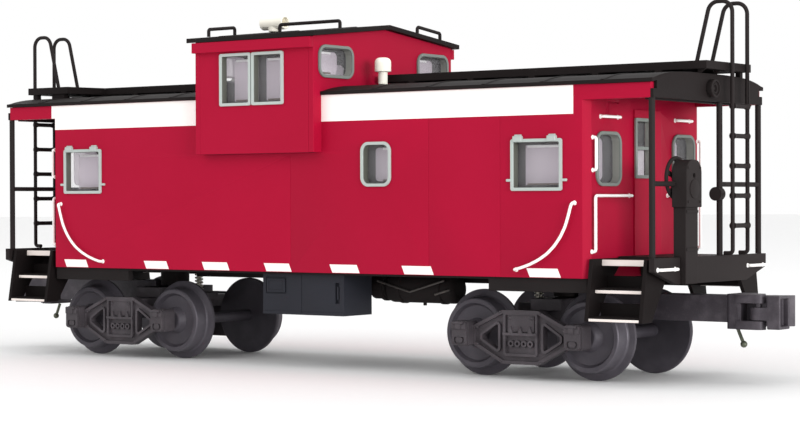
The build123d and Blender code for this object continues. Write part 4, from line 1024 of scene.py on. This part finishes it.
BOX_FACE = 27.0
BOX_WORK = (
    # from and to along the car, from and to in height, how far behind the box's face, how deep
    (0.35, 0.55, -FAR, FAR, 0.0, 0.15),
    (-12.5, -5.1, -6.2, -1.5, 0.0, 0.3),
    (-12.1, -5.5, -5.8, -1.9, 0.3, -0.55),
    (-11.5, -6.1, -5.2, -2.5, -0.25, 0.2),
    (12.3, 13.9, -8.6, -2.8, 0.0, 0.9),
    (12.8, 13.4, -7.4, -4.0, 0.9, -0.7),
    (-13.4, 15.2, -11.9, -11.2, 0.0, -0.3),
)
FLANGE_BOLTS = 8


def box_panel(bm):
    """The joint, framed panel, handle slot with its handle, and bottom lip of the equipment box."""
    for start, stop, bottom, top, behind, depth in BOX_WORK:
        level = behind - BOX_FACE
        sink(bm, (start, level - 0.05, up(bottom)), (stop, level + 0.05, up(top)), "-y", depth)


def tank_fittings():
    """Straps round the reservoir, its drain cock, and the brake cylinder's flange and bolts."""
    bm = bmesh.new()
    front, line, level = 42.1, -9.0, -4.6
    for along in (front - 5.0, front - 18.8):
        strap = ((-0.6, 3.9), (-0.6, 4.25), (0.6, 4.25), (0.6, 3.9))
        turned(bm, (along, line, up(level)), (1, 0, 0), strap, 48, True)
        block(bm, (along - 0.6, line - 0.5, up(level + 3.9)), (along + 0.6, line + 0.5, up(-0.7)))
    rod(bm, (front - 12.0, line, up(level - 4.7)), (front - 12.0, line, up(level - 3.8)), 0.5, 14)
    rear = front - 23.8
    flange = ((-0.5, 2.9), (-0.5, 3.7), (0.5, 3.7), (0.5, 2.9))
    turned(bm, (rear - 1.2, line, up(level)), (1, 0, 0), flange, 40, True)
    for index in range(FLANGE_BOLTS):
        angle = index * 2 * math.pi / FLANGE_BOLTS
        spot = (rear - 1.7, line + 3.4 * math.cos(angle), up(level) + 3.4 * math.sin(angle))
        bolt(bm, spot, (-1, 0, 0), 0.28, 0.3, 10)
    cap = ((-0.1, 0), (-0.1, 2.6), (0.5, 2.2), (0.7, 1.0), (1.4, 0.9), (1.4, 0))
    turned(bm, (rear - 5.2, line, up(level)), (-1, 0, 0), cap, 32)
    piece("tank_fittings", bm, "car_body", "underframe")


softened("equipment_box", "box", 0.25, box_panel)
for node in ("floor_pan", "kingpins"):
    softened(node, "underframe", 0.15)
softened("air_reservoir", "underframe", 0.0, crease=40)
softened("brake_cylinder", "underframe", 0.25)
softened("brake_rods", "rod", 0.0, crease=50)
tank_fittings()

# ---- trucks


def truck_fasteners(bm):
    """Bolts, rivets and lid straps of a truck's side frames."""
    face = -24.8
    for side in (1, -1):
        bolt(bm, (TRUCK + side * 3.4, face + 0.4, up(-10.9)), (0, -1, 0), 0.45, 0.3)
        line = TRUCK + side * AXLE_OFFSET
        for along in (-1.9, 1.9):
            bolt(bm, (line + along, -27.5, up(-17.9)), (0, -1, 0), 0.28, 0.25, 10)
        rod(bm, (line - 1.7, -27.95, up(-12.5)), (line + 1.7, -27.95, up(-12.5)), 0.4, 14)
        for along, height in ((6.2, -9.35), (13.4, -13.6), (6.2, -22.4), (13.4, -18.0)):
            bolt(bm, (TRUCK + side * along, face, up(height)), (0, -1, 0), 0.35, 0.3)
    doubled(bm, ACROSS)


def truck_spring(bm):
    """The coil spring and its post on the inboard arm of a bolster."""
    x = TRUCK - 9.9
    coil(bm, (x, 0, up(-7.6)), 5.2, 0.98, 1.05, 0.28)
    post = ((0, 0), (0, 1.5), (0.3, 1.5), (0.4, 0.7), (5.6, 0.7), (5.95, 0.5), (6.0, 0))
    turned(bm, (x, 0, up(-8.0)), (0, 0, 1), post, 28)


both_trucks("truck_fasteners", truck_fasteners, "truck")
both_trucks("truck_springs", truck_spring, "spring", ("spring_post",))
for end in ("front", "rear"):
    softened("bolster_" + end, "truck", 0.2)
    softened("side_frames_" + end, "truck", 0.14)
    softened("coupler_" + end, "coupler", 0.3)
    softened("knuckle_" + end, "coupler", 0.3)
    softened("uncoupling_pin_" + end, "pin", 0.08)
    for place in ("outer", "inner"):
        softened(f"wheelset_{end}_{place}", "wheel", 0.1, crease=20)

# ---- white paint

FILM = 0.06
MARKS = (
    # start and end along the car
    (-89.6, -80.5), (-56.7, -47.8), (-33.9, -24.4), (-10.6, -1.5), (13.0, 22.4), (37.6, 47.2), (77.5, 86.9),
)


def white_bands():
    """The white stripe under the eaves, one film of paint each side of the cupola."""
    bm = bmesh.new()
    for corners in (
        ((-95.3, BAND_TOP), (CUPOLA_REAR, BAND_TOP), (CUPOLA_REAR, BAND_BOTTOM), (-93.8, BAND_BOTTOM),
         (-93.8, FASCIA_BOTTOM), (-95.3, FASCIA_BOTTOM)),
        ((CUPOLA_FRONT, BAND_TOP), (91.2, BAND_TOP), (91.2, BAND_BOTTOM), (CUPOLA_FRONT, BAND_BOTTOM)),
    ):
        extruded(bm, [(x, -SIDE_HALF - FILM, up(z)) for x, z in corners], (0, FILM + 0.02, 0))
    doubled(bm, ACROSS)
    piece("white_bands", bm, "car_body", "band")


def sill_marks():
    """The short slanted marks along the bottom edge of each side."""
    bm = bmesh.new()
    for start, stop in MARKS:
        verts = block(bm, (start + 0.5, -SIDE_HALF - FILM, up(0.15)), (stop + 0.5, -SIDE_HALF + 0.02, up(2.4)))
        bmesh.ops.translate(bm, vec=(-1.0 * MM, 0, 0), verts=[v for v in verts if v.co.z > up(1) * MM])
    doubled(bm, ACROSS)
    piece("sill_marks", bm, "car_body", "band")


white_bands()
sill_marks()

# ---- stage, light and camera


def stage():
    """The pale floor."""
    bm = bmesh.new()
    bmesh.ops.create_circle(bm, cap_ends=True, segments=96, radius=6.0)
    floor = shown("studio_floor", bm, floor_paper())


def soft_light(name, place, target, width, height, power):
    """A large softbox that looks at a point."""
    data = bpy.data.lights.new(name, "AREA")
    data.shape = "RECTANGLE"
    data.size, data.size_y = width, height
    data.energy = power
    lamp = placed(name, data)
    lamp.location = place
    lamp.rotation_euler = (Vector(target) - Vector(place)).to_track_quat("-Z", "Y").to_euler()


def studio():
    """An even white room and three softboxes."""
    world = bpy.data.worlds.new("studio_white")
    bpy.context.scene.world = world
    world.use_nodes = True
    background = world.node_tree.nodes["Background"]
    background.inputs["Color"].default_value = (1.0, 1.0, 1.0, 1.0)
    background.inputs["Strength"].default_value = 1.0
    bpy.context.scene.view_settings.view_transform = "Standard"
    soft_light("key_softbox", (-0.5, -1.1, 0.9), (0, 0, 0.06), 0.9, 0.7, 2.0)
    soft_light("end_softbox", (1.3, -0.4, 0.16), (0.08, 0, 0.05), 0.7, 0.4, 12.0)
    soft_light("top_softbox", (0.0, 0.1, 1.3), (0, 0, 0.05), 1.2, 0.8, 1.5)


def camera():
    """A camera where the photograph's was, as fitted to the car's corners."""
    azimuth, elevation, roll = math.radians(36.3), math.radians(0.493), math.radians(-0.194)
    right = Vector((math.cos(azimuth), math.sin(azimuth), 0))
    away = Vector((math.sin(azimuth), -math.cos(azimuth), 0))
    back = away * math.cos(elevation) + Vector((0, 0, math.sin(elevation)))
    upward = back.cross(right)
    side = right * math.cos(roll) + upward * math.sin(roll)
    top = upward * math.cos(roll) - right * math.sin(roll)
    turn = Matrix((side, top, back)).transposed().to_4x4()
    data = bpy.data.cameras.new("photo_camera")
    data.sensor_width = 36.0
    data.lens = 95.27
    data.clip_start = 0.01
    viewer = placed("photo_camera", data)
    viewer.matrix_world = Matrix.Translation((0.3735, -0.4882, 0.0471)) @ turn
    bpy.context.scene.camera = viewer


stage()
studio()
camera()
